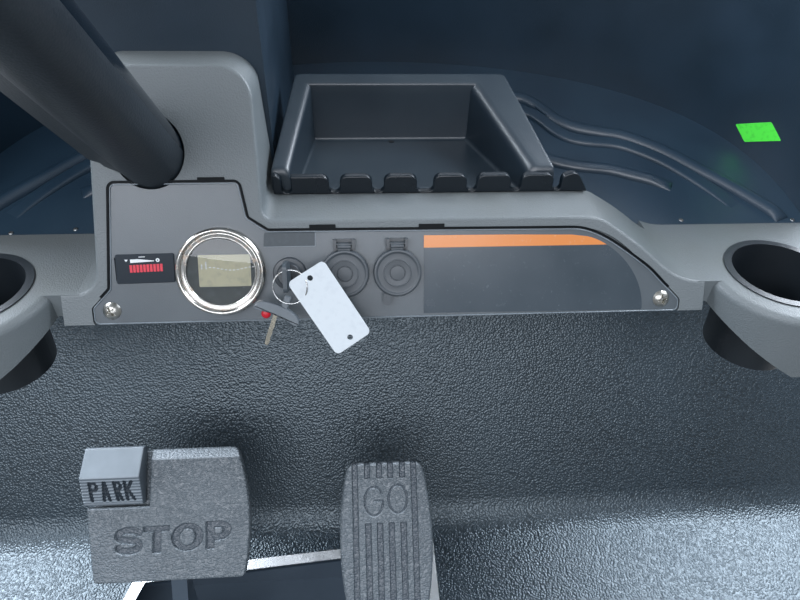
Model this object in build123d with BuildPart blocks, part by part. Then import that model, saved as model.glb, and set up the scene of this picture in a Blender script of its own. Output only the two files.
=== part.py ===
import os
from math import cos, radians, sin, tan

from build123d import *

os.makedirs("parts", exist_ok=True)

# Dash face: the front of the dash leans back from the driver.
FACE_Y = 250.0
FACE_Z = 395.0
FACE_LEAN = 28.0
WALL = 3.5
PANEL_T = 3.0
PANEL_GAP = 1.2

# Wings with the cup holders.
WING_TOP_Z = 417.0
WING_DROP = 65.0
WING_END_X = 500.0
WING_FRONT_Y = 262.0
DASH_BACK_Y = 350.0
CUP_X = 341.0
CUP_Y = 272.0
CUP_R = 45.0
CUP_BULGE_R = 66.0
CUP_GAP = 1.0
CUP_DEPTH = 84.0
CUP_WALL = 2.5

# Bridge in the middle with the row of round-topped teeth.
BAND_S = 81.5
BAND_BACK_Y = 335.0
COMB_T = 6.0
COMB_TOP_Z = 481.0
COMB_X = (-97.0, 173.0)
TEE_SLOTS = (-88.6, -48.0, -10.0, 28.6, 68.0, 104.0, 139.5)
TEE_SLOT_W = 9.0
TOOTH_R = 7.0

# Centre tray.
TRAY_FRONT_Z = 487.0
TRAY_RISE = 14.7
TRAY_FLOOR_Z = 460.0
TRAY_T = 4.0
TRAY_RIM_W = 16.0
TRAY_RIM_RIGHT = (24.0, 35.0)
TRAY_FRONT = (-84.0, 118.0)
TRAY_BACK = (-70.0, 84.0)
TRAY_BACK_Y = 450.0

# Hood round the steering column.
HOOD_LEFT = -230.0
HOOD_RIGHT = -107.0
HOOD_FOOT = -100.5
HOOD_TOP_S = 199.0
HOOD_DEPTH = 140.0
HOOD_BACK_Y = 374.0
EDGE_R = 3.0

# Instruments, as centre across and centre up the face.
METER_C = (-199.5, 45.0)
METER_SIZE = (49.0, 24.0)
GAUGE_C = (-139.0, 42.0)
GAUGE_R = 35.5
GAUGE_GLASS_R = 29.5
SWITCH_C = (-84.0, 39.0)
SWITCH_R = 13.0
SOCKETS = [(-39.5, 39.0), (3.0, 39.0)]
SOCKET_FLANGE_R = 17.0
SOCKET_BORE_R = 11.0
CAP_R = 19.5
CAP_T = 5.0
HINGE_UP = 23.5
HINGE_OUT = 6.0
PIN_R = 1.5
RUN_FIT = 0.05
LAMP_C = (-105.0, 6.0)

# Key set, as places on planes parallel to the dash face.
KEY_HOLE_R = 2.6
KEY_HOLE_UP = 6.6
RING_C = (-80.7, 33.5)
RING_R = 13.8
RING_T = 2.2
RING_N = 30.5
TAG_CORNERS = ((-82.7, 37.0), (-54.8, 54.1), (-19.7, -3.3), (-46.7, -21.2))
TAG_HOLES = ((-65.2, 40.5), (-36.1, -6.9))
TAG_T = 1.2

# Steering column and wheel.
COL_X = -187.4
COL_S = 136.4
COL_RISE = 46.9
COVER_R = 26.0
COVER_T = 2.5
COVER_LOW = -22.0
COVER_TOP = 384.0
FLANGE_REACH = 38.0
TUBE_R = 16.0
TUBE_BORE = 13.0
SHAFT_R = 9.5
TUBE_LOW = -285.0
WHEEL_T = 450.0
TUBE_GAP = 42.0
TUBE_TOP = WHEEL_T - TUBE_GAP
WHEEL_R = 168.0
GRIP_R = 12.0
SPOKES = (-8, 188, 270)

# Floor, toe board and mat.
PAN_T = 3.0
MAT_T = 5.0
PAN_HALF = 592.0
PAN_FLANGE = 32.0
MAT_HALF = PAN_HALF - PAN_FLANGE
PAN_REAR_Y = -240.0
BEND_Y = 290.0
TOE_RISE = 56.0
TOE_LEN = 620.0
BEND_R = 60.0
BOLT_X = PAN_HALF - PAN_FLANGE / 2
BOLT_Y = 150.0
BOLT_R = 4.5

# Pedals.
SLOT_X = (-322.0, 45.0)
SLOT_FAR_X = -291.0
SLOT_NEAR_Y = 118.0
SLOT_FAR_Y = (224.0, 249.5)
TRIM_W = 11.0
BOX_DEEP = 62.0
BOX_T = 2.5
PIVOT_Y = 168.0
PIVOT_Z = -30.0
PIVOT_R = 7.0
PAD_TILT = 42.0
BRAKE_C = (-223.0, 212.0, 172.0)
BRAKE_SIZE = (158.0, 127.0)
PARK_X = (-84.0, -27.0)
PARK_V = (12.0, 40.0, 68.0)
GO_C = (-6.0, 180.5, 159.0)
GO_SIZE = (93.0, 152.0)
PAD_T = 14.0

# Cowl liner behind the dash.
LEDGE_SLOPE = 11.3
LEDGE_Z = 414.0
LINER_T = 3.0
LINER_HIGH = 230.0
LINER_DEEP = 300.0
LINER_HALF = 414.0
TUNNEL_X = (-236.0, -101.0)
TUNNEL_BACK_Y = 598.0
BEAD_R = 5.5
BEAD_H = 5.0
BEADS = (
    ((181, 204), (201, 172), (219, 159), (269, 143), (303, 118), (335, 83), (361, 53), (385, 20)),
    ((188, 97), (208, 91), (236, 86), (279, 68)),
)

FACE = Plane(
    origin=(0, FACE_Y, FACE_Z),
    x_dir=(1, 0, 0),
    z_dir=(0, -cos(radians(FACE_LEAN)), sin(radians(FACE_LEAN))),
)
COLUMN = Plane(
    origin=(
        COL_X,
        FACE_Y + COL_S * sin(radians(FACE_LEAN)),
        FACE_Z + COL_S * cos(radians(FACE_LEAN)),
    ),
    x_dir=(1, 0, 0),
    z_dir=(0, -cos(radians(COL_RISE)), sin(radians(COL_RISE))),
)
LEDGE = Plane(
    origin=(0, DASH_BACK_Y, LEDGE_Z),
    x_dir=(1, 0, 0),
    z_dir=(0, -sin(radians(LEDGE_SLOPE)), cos(radians(LEDGE_SLOPE))),
)


def face_at(x, s, n=0.0):
    """Plane parallel to the dash face, centred x across and s up it, n out of it."""
    return Plane(
        origin=FACE.from_local_coords((x, s, n)), x_dir=FACE.x_dir, z_dir=FACE.z_dir
    )


def save(builder, name):
    builder.part.label = name
    export_step(builder.part, f"parts/{name}.step")


def panel_outline(grow=0.0):
    """Edge of the instrument panel in face coordinates, moved out by grow."""
    low = (236 + 0.7 * grow, 18 + 0.7 * grow)
    top = (150, 72 + grow)
    FilletPolyline(
        top, (-100 + 0.4 * grow, 73.5 + grow), (-116 + 0.9 * grow, 84 + 0.5 * grow),
        (-121 + grow, 112 + grow), (-219 - grow, 112 + grow), (-227 - grow, 29),
        (-242 - grow, 14), (-242 - grow, -grow), (244 + grow, -grow),
        (244 + grow, 10 + 0.4 * grow), low,
        radius=4.5,
    )
    Spline(low, (208 + 0.75 * grow, 43 + 0.66 * grow), top, tangents=[(-1, 0.95), (-1, 0.02)])


def dash_outline(inset=0.0, foot=0.0):
    """Edge of the raised middle of the dash in face coordinates, moved in by inset."""
    ramp = [
        (266, 24.9 - inset), (240 - 0.5 * inset, 31 - 0.87 * inset),
        (214 - 0.68 * inset, 51 - 0.73 * inset), (182 - 0.45 * inset, 74 - 0.9 * inset),
        (140, BAND_S - inset),
    ]
    Spline(*ramp, tangents=[(-1, 0), (-1, 0)])
    corner = (-103 - inset, BAND_S - inset)
    hood_right = (HOOD_RIGHT - inset, HOOD_TOP_S - inset)
    hood_left = (HOOD_LEFT + 2 + inset, HOOD_TOP_S - inset)
    foot_left = (HOOD_LEFT - 8 + inset, 24.9 - inset)
    right = tuple((a + b) / 2 for a, b in zip(corner, hood_right))
    top = (-168, HOOD_TOP_S - inset)
    left = tuple((a + b) / 2 for a, b in zip(hood_left, foot_left))
    FilletPolyline(ramp[-1], corner, right, radius=9)
    FilletPolyline(right, hood_right, top, radius=27)
    FilletPolyline(top, hood_left, left, radius=22)
    FilletPolyline(left, foot_left, (-266, 24.9 - inset), radius=18)
    Polyline((-266, 24.9 - inset), (-266, foot), (266, foot), ramp[0])


# Middle of the dash: hood on the left and bridge, rounded along its front edge.
with BuildPart() as dash_middle:
    with BuildSketch(FACE):
        with BuildLine():
            dash_outline()
        make_face()
    extrude(amount=HOOD_DEPTH, dir=(0, 1, 0))
    with BuildSketch(Plane.XY.offset(300)):
        with Locations(((240 + HOOD_FOOT) / 2, BAND_BACK_Y + 60)):
            Rectangle(240 - HOOD_FOOT, 120)
        with Locations((270, DASH_BACK_Y + 60)):
            Rectangle(64, 120)
        with Locations((0, HOOD_BACK_Y + 100)):
            Rectangle(1000, 200)
    extrude(amount=400, mode=Mode.SUBTRACT)
    with BuildSketch(LEDGE):
        with Locations((0, 100)):
            Rectangle(1000, 200)
    extrude(amount=-150, mode=Mode.SUBTRACT)
    face_edges = [
        e for e in dash_middle.faces().sort_by(Axis((0, 0, 0), FACE.z_dir))[-1].edges()
        if FACE.to_local_coords(e.center()).Y > 26
    ]
    fillet(face_edges, EDGE_R)

# The dash moulding: the middle with a wing on each side, hollow and open below.
with BuildPart() as dash_body:
    with BuildSketch(Plane.XY.offset(WING_TOP_Z)):
        with Locations(((240 + WING_END_X) / 2, (WING_FRONT_Y + DASH_BACK_Y) / 2)):
            Rectangle(WING_END_X - 240, DASH_BACK_Y - WING_FRONT_Y)
        with Locations((CUP_X, CUP_Y)):
            Circle(CUP_BULGE_R)
        with Locations((CUP_X, DASH_BACK_Y + 20)):
            Rectangle(2 * CUP_BULGE_R, 40, mode=Mode.SUBTRACT)
    extrude(amount=-WING_DROP)
    with BuildSketch(Plane.XZ.offset(-450)):
        with BuildLine():
            Polyline(
                (200, 300), (200, FACE_Z), (274, FACE_Z), (300, 378), (340, 354),
                (WING_END_X + 10, 354), (WING_END_X + 10, 300), (200, 300),
            )
        make_face()
    extrude(amount=300, mode=Mode.SUBTRACT)
    top = dash_body.faces().sort_by(Axis.Z)[-1]
    front = [e for e in top.edges() if e.center().Y < DASH_BACK_Y - 8 and e.center().X > 262]
    fillet(front, 7)
    with BuildSketch(Plane.XY.offset(WING_TOP_Z - WALL)):
        with Locations(((238 + WING_END_X - WALL) / 2, (WING_FRONT_Y + DASH_BACK_Y) / 2 + 4)):
            Rectangle(WING_END_X - WALL - 238, DASH_BACK_Y - WING_FRONT_Y)
        with Locations((CUP_X, CUP_Y)):
            Circle(CUP_BULGE_R - WALL)
    extrude(amount=-WING_DROP, mode=Mode.SUBTRACT)
    with BuildSketch(Plane.XY.offset(WING_TOP_Z + 10)):
        with Locations((CUP_X, CUP_Y)):
            Circle(CUP_R)
    extrude(amount=-30, mode=Mode.SUBTRACT)
    mirror(about=Plane.YZ)
    add(dash_middle.part)
    with BuildSketch(FACE.offset(-WALL)):
        with BuildLine():
            dash_outline(WALL, -60)
        make_face()
    extrude(amount=HOOD_DEPTH * 2, dir=(0, 1, 0), mode=Mode.SUBTRACT)
    with BuildSketch(Plane.XY.offset(WING_TOP_Z - WALL)):
        for side in (-1, 1):
            with Locations((side * 262, (WING_FRONT_Y + DASH_BACK_Y) / 2 + 6)):
                Rectangle(30, DASH_BACK_Y - WING_FRONT_Y)
    extrude(amount=-WING_DROP, mode=Mode.SUBTRACT)
    with BuildSketch(FACE.offset(1)):
        with BuildLine():
            panel_outline(PANEL_GAP)
        make_face()
    extrude(amount=-WALL - 2, mode=Mode.SUBTRACT)
    with BuildSketch(FACE.offset(-PANEL_T)):
        with BuildLine():
            Polyline(
                (-246, 0), (-246, 16), (-231, 31), (-223, 116), (-117, 116), (-111, 84),
                (-100, 78), (152, 76), (180, 71), (212, 47), (246, 20), (246, 0), (-246, 0),
            )
        make_face()
    extrude(amount=-WALL)
    with BuildSketch(FACE.offset(-PANEL_T)):
        with BuildLine():
            Polyline(
                (-236, 7), (237, 7), (228, 14), (200, 37), (148, 65), (-106, 66.5),
                (-123, 79), (-127, 105), (-213, 105), (-219, 30), (-236, 7),
            )
        make_face()
    extrude(amount=-WALL * 2, mode=Mode.SUBTRACT)
    with BuildSketch(COLUMN.offset(-40)):
        Circle(COVER_R + 1.5)
    extrude(amount=90, mode=Mode.SUBTRACT)
save(dash_body, "dash_body")

# Instrument panel: a flat plate with holes for the instruments.
with BuildPart() as instrument_panel:
    with BuildSketch(FACE):
        with BuildLine():
            panel_outline()
        make_face()
    extrude(amount=-PANEL_T)
    with BuildSketch(FACE.offset(1)):
        with Locations(METER_C):
            Rectangle(METER_SIZE[0] - 5, METER_SIZE[1] - 5)
        with Locations(GAUGE_C):
            Circle(GAUGE_R - 3)
        with Locations(SWITCH_C):
            Circle(SWITCH_R - 2)
        with Locations(LAMP_C):
            Circle(2.6)
        with Locations(*SOCKETS):
            Circle(SOCKET_FLANGE_R - 3)
        with Locations((COL_X, COL_S)):
            Circle(COVER_R + 3.2)
    extrude(amount=-PANEL_T - 2, mode=Mode.SUBTRACT)
save(instrument_panel, "instrument_panel")

# Battery meter: a plate on the panel with its case behind.
with BuildPart() as battery_meter:
    with BuildSketch(face_at(*METER_C)):
        RectangleRounded(*METER_SIZE, 1.5)
    extrude(amount=2)
    with BuildSketch(face_at(*METER_C)):
        Rectangle(METER_SIZE[0] - 14, METER_SIZE[1] - 5)
    extrude(amount=-16)
save(battery_meter, "battery_meter")

# Round gauge: case behind the panel, bright bezel ring, lens.
with BuildPart() as gauge_case:
    with BuildSketch(face_at(*GAUGE_C)):
        Circle(GAUGE_R - 3)
    extrude(amount=-38)
    with BuildSketch(face_at(*GAUGE_C)):
        Circle(GAUGE_R - 3)
    extrude(amount=2)
    with BuildSketch(face_at(*GAUGE_C, -38)):
        Circle(12)
    extrude(amount=-8)
save(gauge_case, "gauge_case")

with BuildPart() as gauge_bezel:
    with BuildSketch(face_at(*GAUGE_C)):
        Circle(GAUGE_R)
        Circle(GAUGE_R - 3, mode=Mode.SUBTRACT)
    extrude(amount=8)
    with BuildSketch(face_at(*GAUGE_C, 2)):
        Circle(GAUGE_R - 2)
        Circle(GAUGE_GLASS_R, mode=Mode.SUBTRACT)
    extrude(amount=6)
    outer = gauge_bezel.edges().filter_by(GeomType.CIRCLE).group_by(SortBy.RADIUS)[-1]
    fillet(outer.sort_by(Axis((0, 0, 0), FACE.z_dir))[-1:], 2.5)
save(gauge_bezel, "gauge_bezel")

with BuildPart() as gauge_lens:
    with BuildSketch(face_at(*GAUGE_C, 2)):
        Circle(GAUGE_GLASS_R)
    extrude(amount=2.5)
save(gauge_lens, "gauge_lens")

# Key switch with its flange.
with BuildPart() as key_switch:
    with BuildSketch(face_at(*SWITCH_C)):
        Circle(SWITCH_R)
    extrude(amount=4)
    with BuildSketch(face_at(*SWITCH_C, 4)):
        Circle(9)
    extrude(amount=4)
    with BuildSketch(face_at(*SWITCH_C)):
        Circle(SWITCH_R - 2)
    extrude(amount=-34)
    with BuildSketch(face_at(*SWITCH_C, 8)):
        Rectangle(2.4, 9)
    extrude(amount=-18, mode=Mode.SUBTRACT)
save(key_switch, "key_switch")

# Key standing edge on in the switch.
KEY_PLANE = Plane(
    origin=face_at(*SWITCH_C, 0).origin, x_dir=FACE.y_dir, z_dir=(1, 0, 0)
)
with BuildPart() as key:
    with BuildSketch(KEY_PLANE):
        with BuildLine():
            FilletPolyline(
                (-3.5, 9), (-9, 14), (-10, 35), (13, 36), (13, 15), (3.5, 9),
                radius=4,
            )
            Line((3.5, 9), (-3.5, 9))
        make_face()
        with Locations((KEY_HOLE_UP, RING_N)):
            Circle(KEY_HOLE_R, mode=Mode.SUBTRACT)
    extrude(amount=1.6, both=True)
    with BuildSketch(KEY_PLANE):
        with Locations((0, 2)):
            Rectangle(7, 16)
    extrude(amount=1.1, both=True)
save(key, "key")

# The ring hangs in the key's hole, with the tag before it and the spare key behind it.
with BuildPart() as key_ring:
    with BuildSketch(face_at(*RING_C, RING_N - RING_T / 2)):
        Circle(RING_R)
        Circle(RING_R - RING_T, mode=Mode.SUBTRACT)
    extrude(amount=RING_T)
save(key_ring, "key_ring")

with BuildPart() as key_tag:
    with BuildSketch(face_at(0, 0, RING_N + RING_T / 2)):
        with BuildLine():
            FilletPolyline(*TAG_CORNERS, radius=4, close=True)
        make_face()
        with Locations(*TAG_HOLES):
            Circle(2.2, mode=Mode.SUBTRACT)
    extrude(amount=TAG_T)
save(key_tag, "key_tag")

with BuildPart() as spare_key:
    with BuildSketch(face_at(0, 0, RING_N - RING_T / 2 - 3)):
        with Locations((-92, 12)):
            Ellipse(17, 5.5, rotation=-22)
        with BuildLine():
            Polyline((-85, 24), (-80, 22), (-88, 10), (-95, 12), (-85, 24))
        make_face()
        with BuildLine():
            Polyline((-97, 11), (-92, 9), (-99, -12), (-103, -10), (-97, 11))
        make_face()
    extrude(amount=3)
save(spare_key, "spare_key")

with BuildPart() as indicator_lamp:
    with BuildSketch(face_at(*LAMP_C)):
        Circle(3.8)
    extrude(amount=2)
    with BuildSketch(face_at(*LAMP_C)):
        Circle(2.6)
    extrude(amount=-PANEL_T)
save(indicator_lamp, "indicator_lamp")

# Two power sockets with hinged caps.
for index, (sx, ss) in enumerate(SOCKETS, start=1):
    with BuildPart() as socket_body:
        with BuildSketch(face_at(sx, ss)):
            Circle(SOCKET_FLANGE_R)
        extrude(amount=4)
        with BuildSketch(face_at(sx, ss)):
            Circle(SOCKET_FLANGE_R - 3)
        extrude(amount=-42)
        with BuildSketch(face_at(sx, ss, 4)):
            Circle(SOCKET_BORE_R)
        extrude(amount=-40, mode=Mode.SUBTRACT)
        with BuildSketch(face_at(sx, ss + HINGE_UP)):
            for side in (-1, 1):
                with Locations((side * 7.5, 0.5)):
                    Rectangle(2.5, 7)
        extrude(amount=HINGE_OUT + 3)
        with BuildSketch(face_at(sx, ss + HINGE_UP - 2)):
            Rectangle(17.5, 12)
        extrude(amount=2.5)
        with BuildSketch(Plane(
            origin=FACE.from_local_coords((sx - 8, ss + HINGE_UP, HINGE_OUT)),
            x_dir=FACE.y_dir, z_dir=(1, 0, 0),
        )):
            Circle(PIN_R)
        extrude(amount=16)
    save(socket_body, f"socket_body_{index}")

    with BuildPart() as socket_cap:
        with BuildSketch(face_at(sx, ss, 4.4)):
            Circle(CAP_R)
        extrude(amount=CAP_T)
        with BuildSketch(face_at(sx, ss, 4.4)):
            with Locations((0, CAP_R)):
                Rectangle(11, 8)
        extrude(amount=CAP_T)
        with BuildSketch(face_at(sx, ss, 4.4)):
            with Locations((0, -CAP_R - 1)):
                Rectangle(12, 5)
        extrude(amount=2.5)
        with BuildSketch(Plane(
            origin=FACE.from_local_coords((sx - 5.5, ss + HINGE_UP, HINGE_OUT)),
            x_dir=FACE.y_dir, z_dir=(1, 0, 0),
        )):
            Circle(3)
        extrude(amount=11)
        with BuildSketch(Plane(
            origin=FACE.from_local_coords((sx - 8, ss + HINGE_UP, HINGE_OUT)),
            x_dir=FACE.y_dir, z_dir=(1, 0, 0),
        )):
            Circle(PIN_R + RUN_FIT)
        extrude(amount=16, mode=Mode.SUBTRACT)
    save(socket_cap, f"socket_cap_{index}")

# Cup baskets hanging in the wings by a rim.
for side, name in ((-1, "cup_basket_left"), (1, "cup_basket_right")):
    with BuildPart() as basket:
        with BuildSketch(Plane.XY.offset(WING_TOP_Z)):
            with Locations((side * CUP_X, CUP_Y)):
                Circle(CUP_R + 3)
        extrude(amount=1.2)
        with BuildSketch(Plane.XY.offset(WING_TOP_Z)):
            with Locations((side * CUP_X, CUP_Y)):
                Circle(CUP_R - CUP_GAP)
        extrude(amount=-CUP_DEPTH, taper=4)
        with BuildSketch(Plane.XY.offset(WING_TOP_Z + 1.2)):
            with Locations((side * CUP_X, CUP_Y)):
                Circle(CUP_R - CUP_GAP - CUP_WALL)
        extrude(amount=-CUP_DEPTH - 1.2 + CUP_WALL, taper=4, mode=Mode.SUBTRACT)
    save(basket, name)

# Row of round-topped teeth standing on the back of the bridge.
BAND_TOP_Z = FACE_Z + BAND_S * cos(radians(FACE_LEAN))
with BuildPart() as tee_comb:
    with BuildSketch(Plane.XZ.offset(-BAND_BACK_Y)):
        with Locations((sum(COMB_X) / 2, (BAND_TOP_Z + COMB_TOP_Z) / 2)):
            Rectangle(COMB_X[1] - COMB_X[0], COMB_TOP_Z - BAND_TOP_Z)
        with Locations(*[(x, COMB_TOP_Z) for x in TEE_SLOTS]):
            Rectangle(TEE_SLOT_W, 15, mode=Mode.SUBTRACT)
        with Locations(*[(x, COMB_TOP_Z - 7.5) for x in TEE_SLOTS]):
            Circle(TEE_SLOT_W / 2, mode=Mode.SUBTRACT)
    extrude(amount=COMB_T)
    tips = [
        e for e in tee_comb.edges().filter_by(Axis.Y)
        if e.center().Z > COMB_TOP_Z - 0.1 and e.center().X > TEE_SLOTS[0]
    ]
    fillet(tips, TOOTH_R)
    with BuildSketch(Plane.XZ.offset(-BAND_BACK_Y - 1)):
        with BuildLine():
            Polyline(
                (TEE_SLOTS[-1] + 12, COMB_TOP_Z + 1), (COMB_X[1] + 1, BAND_TOP_Z + 2),
                (COMB_X[1] + 1, COMB_TOP_Z + 1), (TEE_SLOTS[-1] + 12, COMB_TOP_Z + 1),
            )
        make_face()
    extrude(amount=COMB_T + 2, mode=Mode.SUBTRACT)
save(tee_comb, "tee_comb")

# Centre tray behind the teeth: a sloping rim and a pocket that narrows to the back.
TRAY_RIM = Plane(
    origin=(0, BAND_BACK_Y, TRAY_FRONT_Z), x_dir=(1, 0, 0),
    z_dir=(0, -sin(radians(TRAY_RISE)), cos(radians(TRAY_RISE))),
)
with BuildPart() as centre_tray:
    for low, wall, right in (
        (TRAY_FLOOR_Z - TRAY_T, TRAY_T, (TRAY_T, TRAY_T)),
        (TRAY_FLOOR_Z + 2, TRAY_RIM_W, TRAY_RIM_RIGHT),
    ):
        with BuildSketch(Plane.XY.offset(low)):
            with BuildLine():
                FilletPolyline(
                    (TRAY_FRONT[0] - wall, BAND_BACK_Y), (TRAY_FRONT[1] + right[0], BAND_BACK_Y),
                    (TRAY_BACK[1] + right[1], TRAY_BACK_Y + wall),
                    (TRAY_BACK[0] - wall, TRAY_BACK_Y + wall),
                    radius=5, close=True,
                )
            make_face()
        extrude(amount=120)
        with BuildSketch(TRAY_RIM.offset(0 if wall == TRAY_RIM_W else -TRAY_T)):
            Rectangle(600, 600)
        extrude(amount=200, mode=Mode.SUBTRACT)
        if wall == TRAY_RIM_W:
            break
    with BuildSketch(TRAY_RIM.offset(-TRAY_T)):
        with BuildLine():
            Polyline(
                (TRAY_FRONT[0] - 60, 0), (TRAY_FRONT[0] - TRAY_T, 0),
                (TRAY_BACK[0] - TRAY_T, TRAY_BACK_Y + TRAY_T - BAND_BACK_Y),
                (TRAY_BACK[1] + TRAY_T, TRAY_BACK_Y + TRAY_T - BAND_BACK_Y),
                (TRAY_FRONT[1] + TRAY_T, 0), (TRAY_FRONT[1] + 60, 0),
                (TRAY_FRONT[1] + 60, 200), (TRAY_FRONT[0] - 60, 200),
                (TRAY_FRONT[0] - 60, 0),
            )
        make_face()
    extrude(amount=-100, mode=Mode.SUBTRACT)
    with BuildSketch(Plane.XY.offset(TRAY_FLOOR_Z)):
        with BuildLine():
            FilletPolyline(
                (TRAY_FRONT[0], BAND_BACK_Y + TRAY_T), (TRAY_FRONT[1], BAND_BACK_Y + TRAY_T),
                (TRAY_BACK[1], TRAY_BACK_Y), (TRAY_BACK[0], TRAY_BACK_Y),
                radius=6, close=True,
            )
        make_face()
    extrude(amount=120, taper=-3, mode=Mode.SUBTRACT)
    with BuildSketch(Plane.XY.offset(TRAY_FLOOR_Z + 8)):
        with Locations((sum(TRAY_FRONT) / 2, BAND_BACK_Y + 5)):
            Rectangle(TRAY_FRONT[1] - TRAY_FRONT[0], 16)
    extrude(amount=100, mode=Mode.SUBTRACT)
    with BuildSketch(Plane.XY.offset(TRAY_FLOOR_Z - 10)):
        with Locations((7, TRAY_BACK_Y - 8)):
            Circle(3)
    extrude(amount=20, mode=Mode.SUBTRACT)
save(centre_tray, "centre_tray")


def liner_outline(grow):
    """Rounded nose outline on the sloping ledge, widened by grow."""
    pts = []
    for i in range(0, 13):
        turn = radians(90 * i / 12)
        t = LINER_DEEP * sin(turn)
        w = LINER_HALF * max(0.0, 1 - sin(turn) ** 2.6) ** 0.5
        pts.append((w + grow * cos(turn), t + grow * sin(turn)))
    left = [(-x, y) for x, y in reversed(pts[:-1])]
    Spline(*(pts + left), tangents=[(0, 1), (0, -1)])
    Line(left[-1], pts[0])


# Solid nose shape used to trim the column tunnel of the liner.
with BuildPart() as nose:
    with BuildSketch(LEDGE.offset(-LINER_T)):
        with BuildLine():
            liner_outline(LINER_T)
        make_face()
    extrude(amount=LINER_HIGH)
tunnel_wide = TUNNEL_X[1] - TUNNEL_X[0]
tunnel_deep = TUNNEL_BACK_Y - HOOD_BACK_Y
tunnel = nose.part & Pos(sum(TUNNEL_X) / 2, HOOD_BACK_Y + tunnel_deep / 2, 540) * Box(
    tunnel_wide, tunnel_deep, 290
)
with BuildPart() as nose_room:
    with BuildSketch(LEDGE.offset(-4 * LINER_T)):
        with BuildLine():
            liner_outline(0)
        make_face()
    extrude(amount=LINER_HIGH + 2 * LINER_T)
tunnel_core = nose_room.part & Pos(
    sum(TUNNEL_X) / 2, HOOD_BACK_Y + tunnel_deep / 2 + LINER_T, 540
) * Box(tunnel_wide - 2 * LINER_T, tunnel_deep, 400)


def bead_outline(points):
    """Closed outline of a bead along the points, BEAD_R to either side, ends square."""
    sides = ([], [])
    for i, (x, y) in enumerate(points):
        ax, ay = points[max(i - 1, 0)]
        bx, by = points[min(i + 1, len(points) - 1)]
        run = ((bx - ax) ** 2 + (by - ay) ** 2) ** 0.5
        nx, ny = (by - ay) / run * BEAD_R, (ax - bx) / run * BEAD_R
        sides[0].append((x + nx, y + ny))
        sides[1].append((x - nx, y - ny))
    Spline(*sides[0])
    Line(sides[0][-1], sides[1][-1])
    Spline(*reversed(sides[1]))
    Line(sides[1][0], sides[0][0])


# Cowl liner: sloping ledge behind the dash with a wall round its nose.
with BuildPart() as cowl_liner:
    with BuildSketch(LEDGE.offset(-LINER_T)):
        with BuildLine():
            liner_outline(0)
        make_face()
    extrude(amount=LINER_T)
    with BuildSketch(LEDGE.offset(-LINER_T)):
        with BuildLine():
            liner_outline(LINER_T)
        make_face()
    extrude(amount=LINER_HIGH)
    with BuildSketch(LEDGE):
        with BuildLine():
            liner_outline(0)
        make_face()
    extrude(amount=LINER_HIGH, mode=Mode.SUBTRACT)
    add(tunnel)
    add(tunnel_core, mode=Mode.SUBTRACT)
    for side in (1, -1):
        for bead in BEADS:
            with BuildSketch(LEDGE):
                with BuildLine():
                    bead_outline([(side * x, y) for x, y in bead])
                make_face()
            extrude(amount=BEAD_H)
    with BuildSketch(COLUMN.offset(-300)):
        Circle(TUBE_R + 6)
    extrude(amount=300, mode=Mode.SUBTRACT)
    with BuildSketch(Plane.XY.offset(300)):
        with Locations((0, DASH_BACK_Y - 100)):
            Rectangle(1000, 200)
    extrude(amount=400, mode=Mode.SUBTRACT)
    with BuildSketch(Plane.XY.offset(WING_TOP_Z - WALL)):
        for side in (-1, 1):
            with Locations((side * 345, DASH_BACK_Y - 7)):
                Rectangle(130, 16)
    extrude(amount=-LINER_T)
save(cowl_liner, "cowl_liner")


def ramp_band(low, high):
    """Side profile of the floor and toe board between two heights above the underside."""
    half = radians(TOE_RISE / 2)
    rise = radians(TOE_RISE)
    ends = []
    for d in (low, high):
        bend = (BEND_Y - d * tan(half), d)
        tip = (
            BEND_Y + TOE_LEN * cos(rise) - d * sin(rise),
            TOE_LEN * sin(rise) + d * cos(rise),
        )
        FilletPolyline((PAN_REAR_Y, d), bend, tip, radius=BEND_R - d)
        ends.append(((PAN_REAR_Y, d), tip))
    Line(ends[0][0], ends[1][0])
    Line(ends[0][1], ends[1][1])


def slot_outline(grow=0.0):
    """Pedal slot in the floor, wider by grow: its far edge runs a little slanted."""
    Polyline(
        (SLOT_X[0] - grow, SLOT_NEAR_Y - grow), (SLOT_X[1] + grow, SLOT_NEAR_Y - grow),
        (SLOT_X[1] + grow, SLOT_FAR_Y[1] + grow), (SLOT_FAR_X - grow, SLOT_FAR_Y[0] + grow),
        (SLOT_X[0] - grow, SLOT_NEAR_Y - grow),
    )


# Floor pan with its toe board.
with BuildPart() as floor_pan:
    with BuildSketch(Plane.YZ):
        with BuildLine():
            ramp_band(0, PAN_T)
        make_face()
    extrude(amount=PAN_HALF, both=True)
    with BuildSketch(Plane.XY.offset(-5)):
        with GridLocations(2 * BOLT_X, 2 * BOLT_Y, 2, 2):
            Circle(BOLT_R)
        with BuildLine():
            slot_outline()
        make_face()
    extrude(amount=40, mode=Mode.SUBTRACT)
    with BuildSketch(COLUMN.offset(TUBE_LOW - 40)):
        Circle(TUBE_R + 4)
    extrude(amount=120, mode=Mode.SUBTRACT)
    with BuildSketch(LEDGE.offset(-LINER_T)):
        Rectangle(1200, 1200)
    extrude(amount=300, mode=Mode.SUBTRACT)
save(floor_pan, "floor_pan")

# Moulded floor mat over the pan.
with BuildPart() as floor_mat:
    with BuildSketch(Plane.YZ):
        with BuildLine():
            ramp_band(PAN_T, PAN_T + MAT_T)
        make_face()
    extrude(amount=MAT_HALF, both=True)
    with BuildSketch(Plane.XY.offset(-5)):
        with BuildLine():
            slot_outline()
        make_face()
    extrude(amount=40, mode=Mode.SUBTRACT)
    with BuildSketch(COLUMN.offset(TUBE_LOW - 40)):
        Circle(TUBE_R + 4)
    extrude(amount=120, mode=Mode.SUBTRACT)
    with BuildSketch(LEDGE.offset(-LINER_T)):
        Rectangle(1200, 1200)
    extrude(amount=300, mode=Mode.SUBTRACT)
save(floor_mat, "floor_mat")

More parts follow.
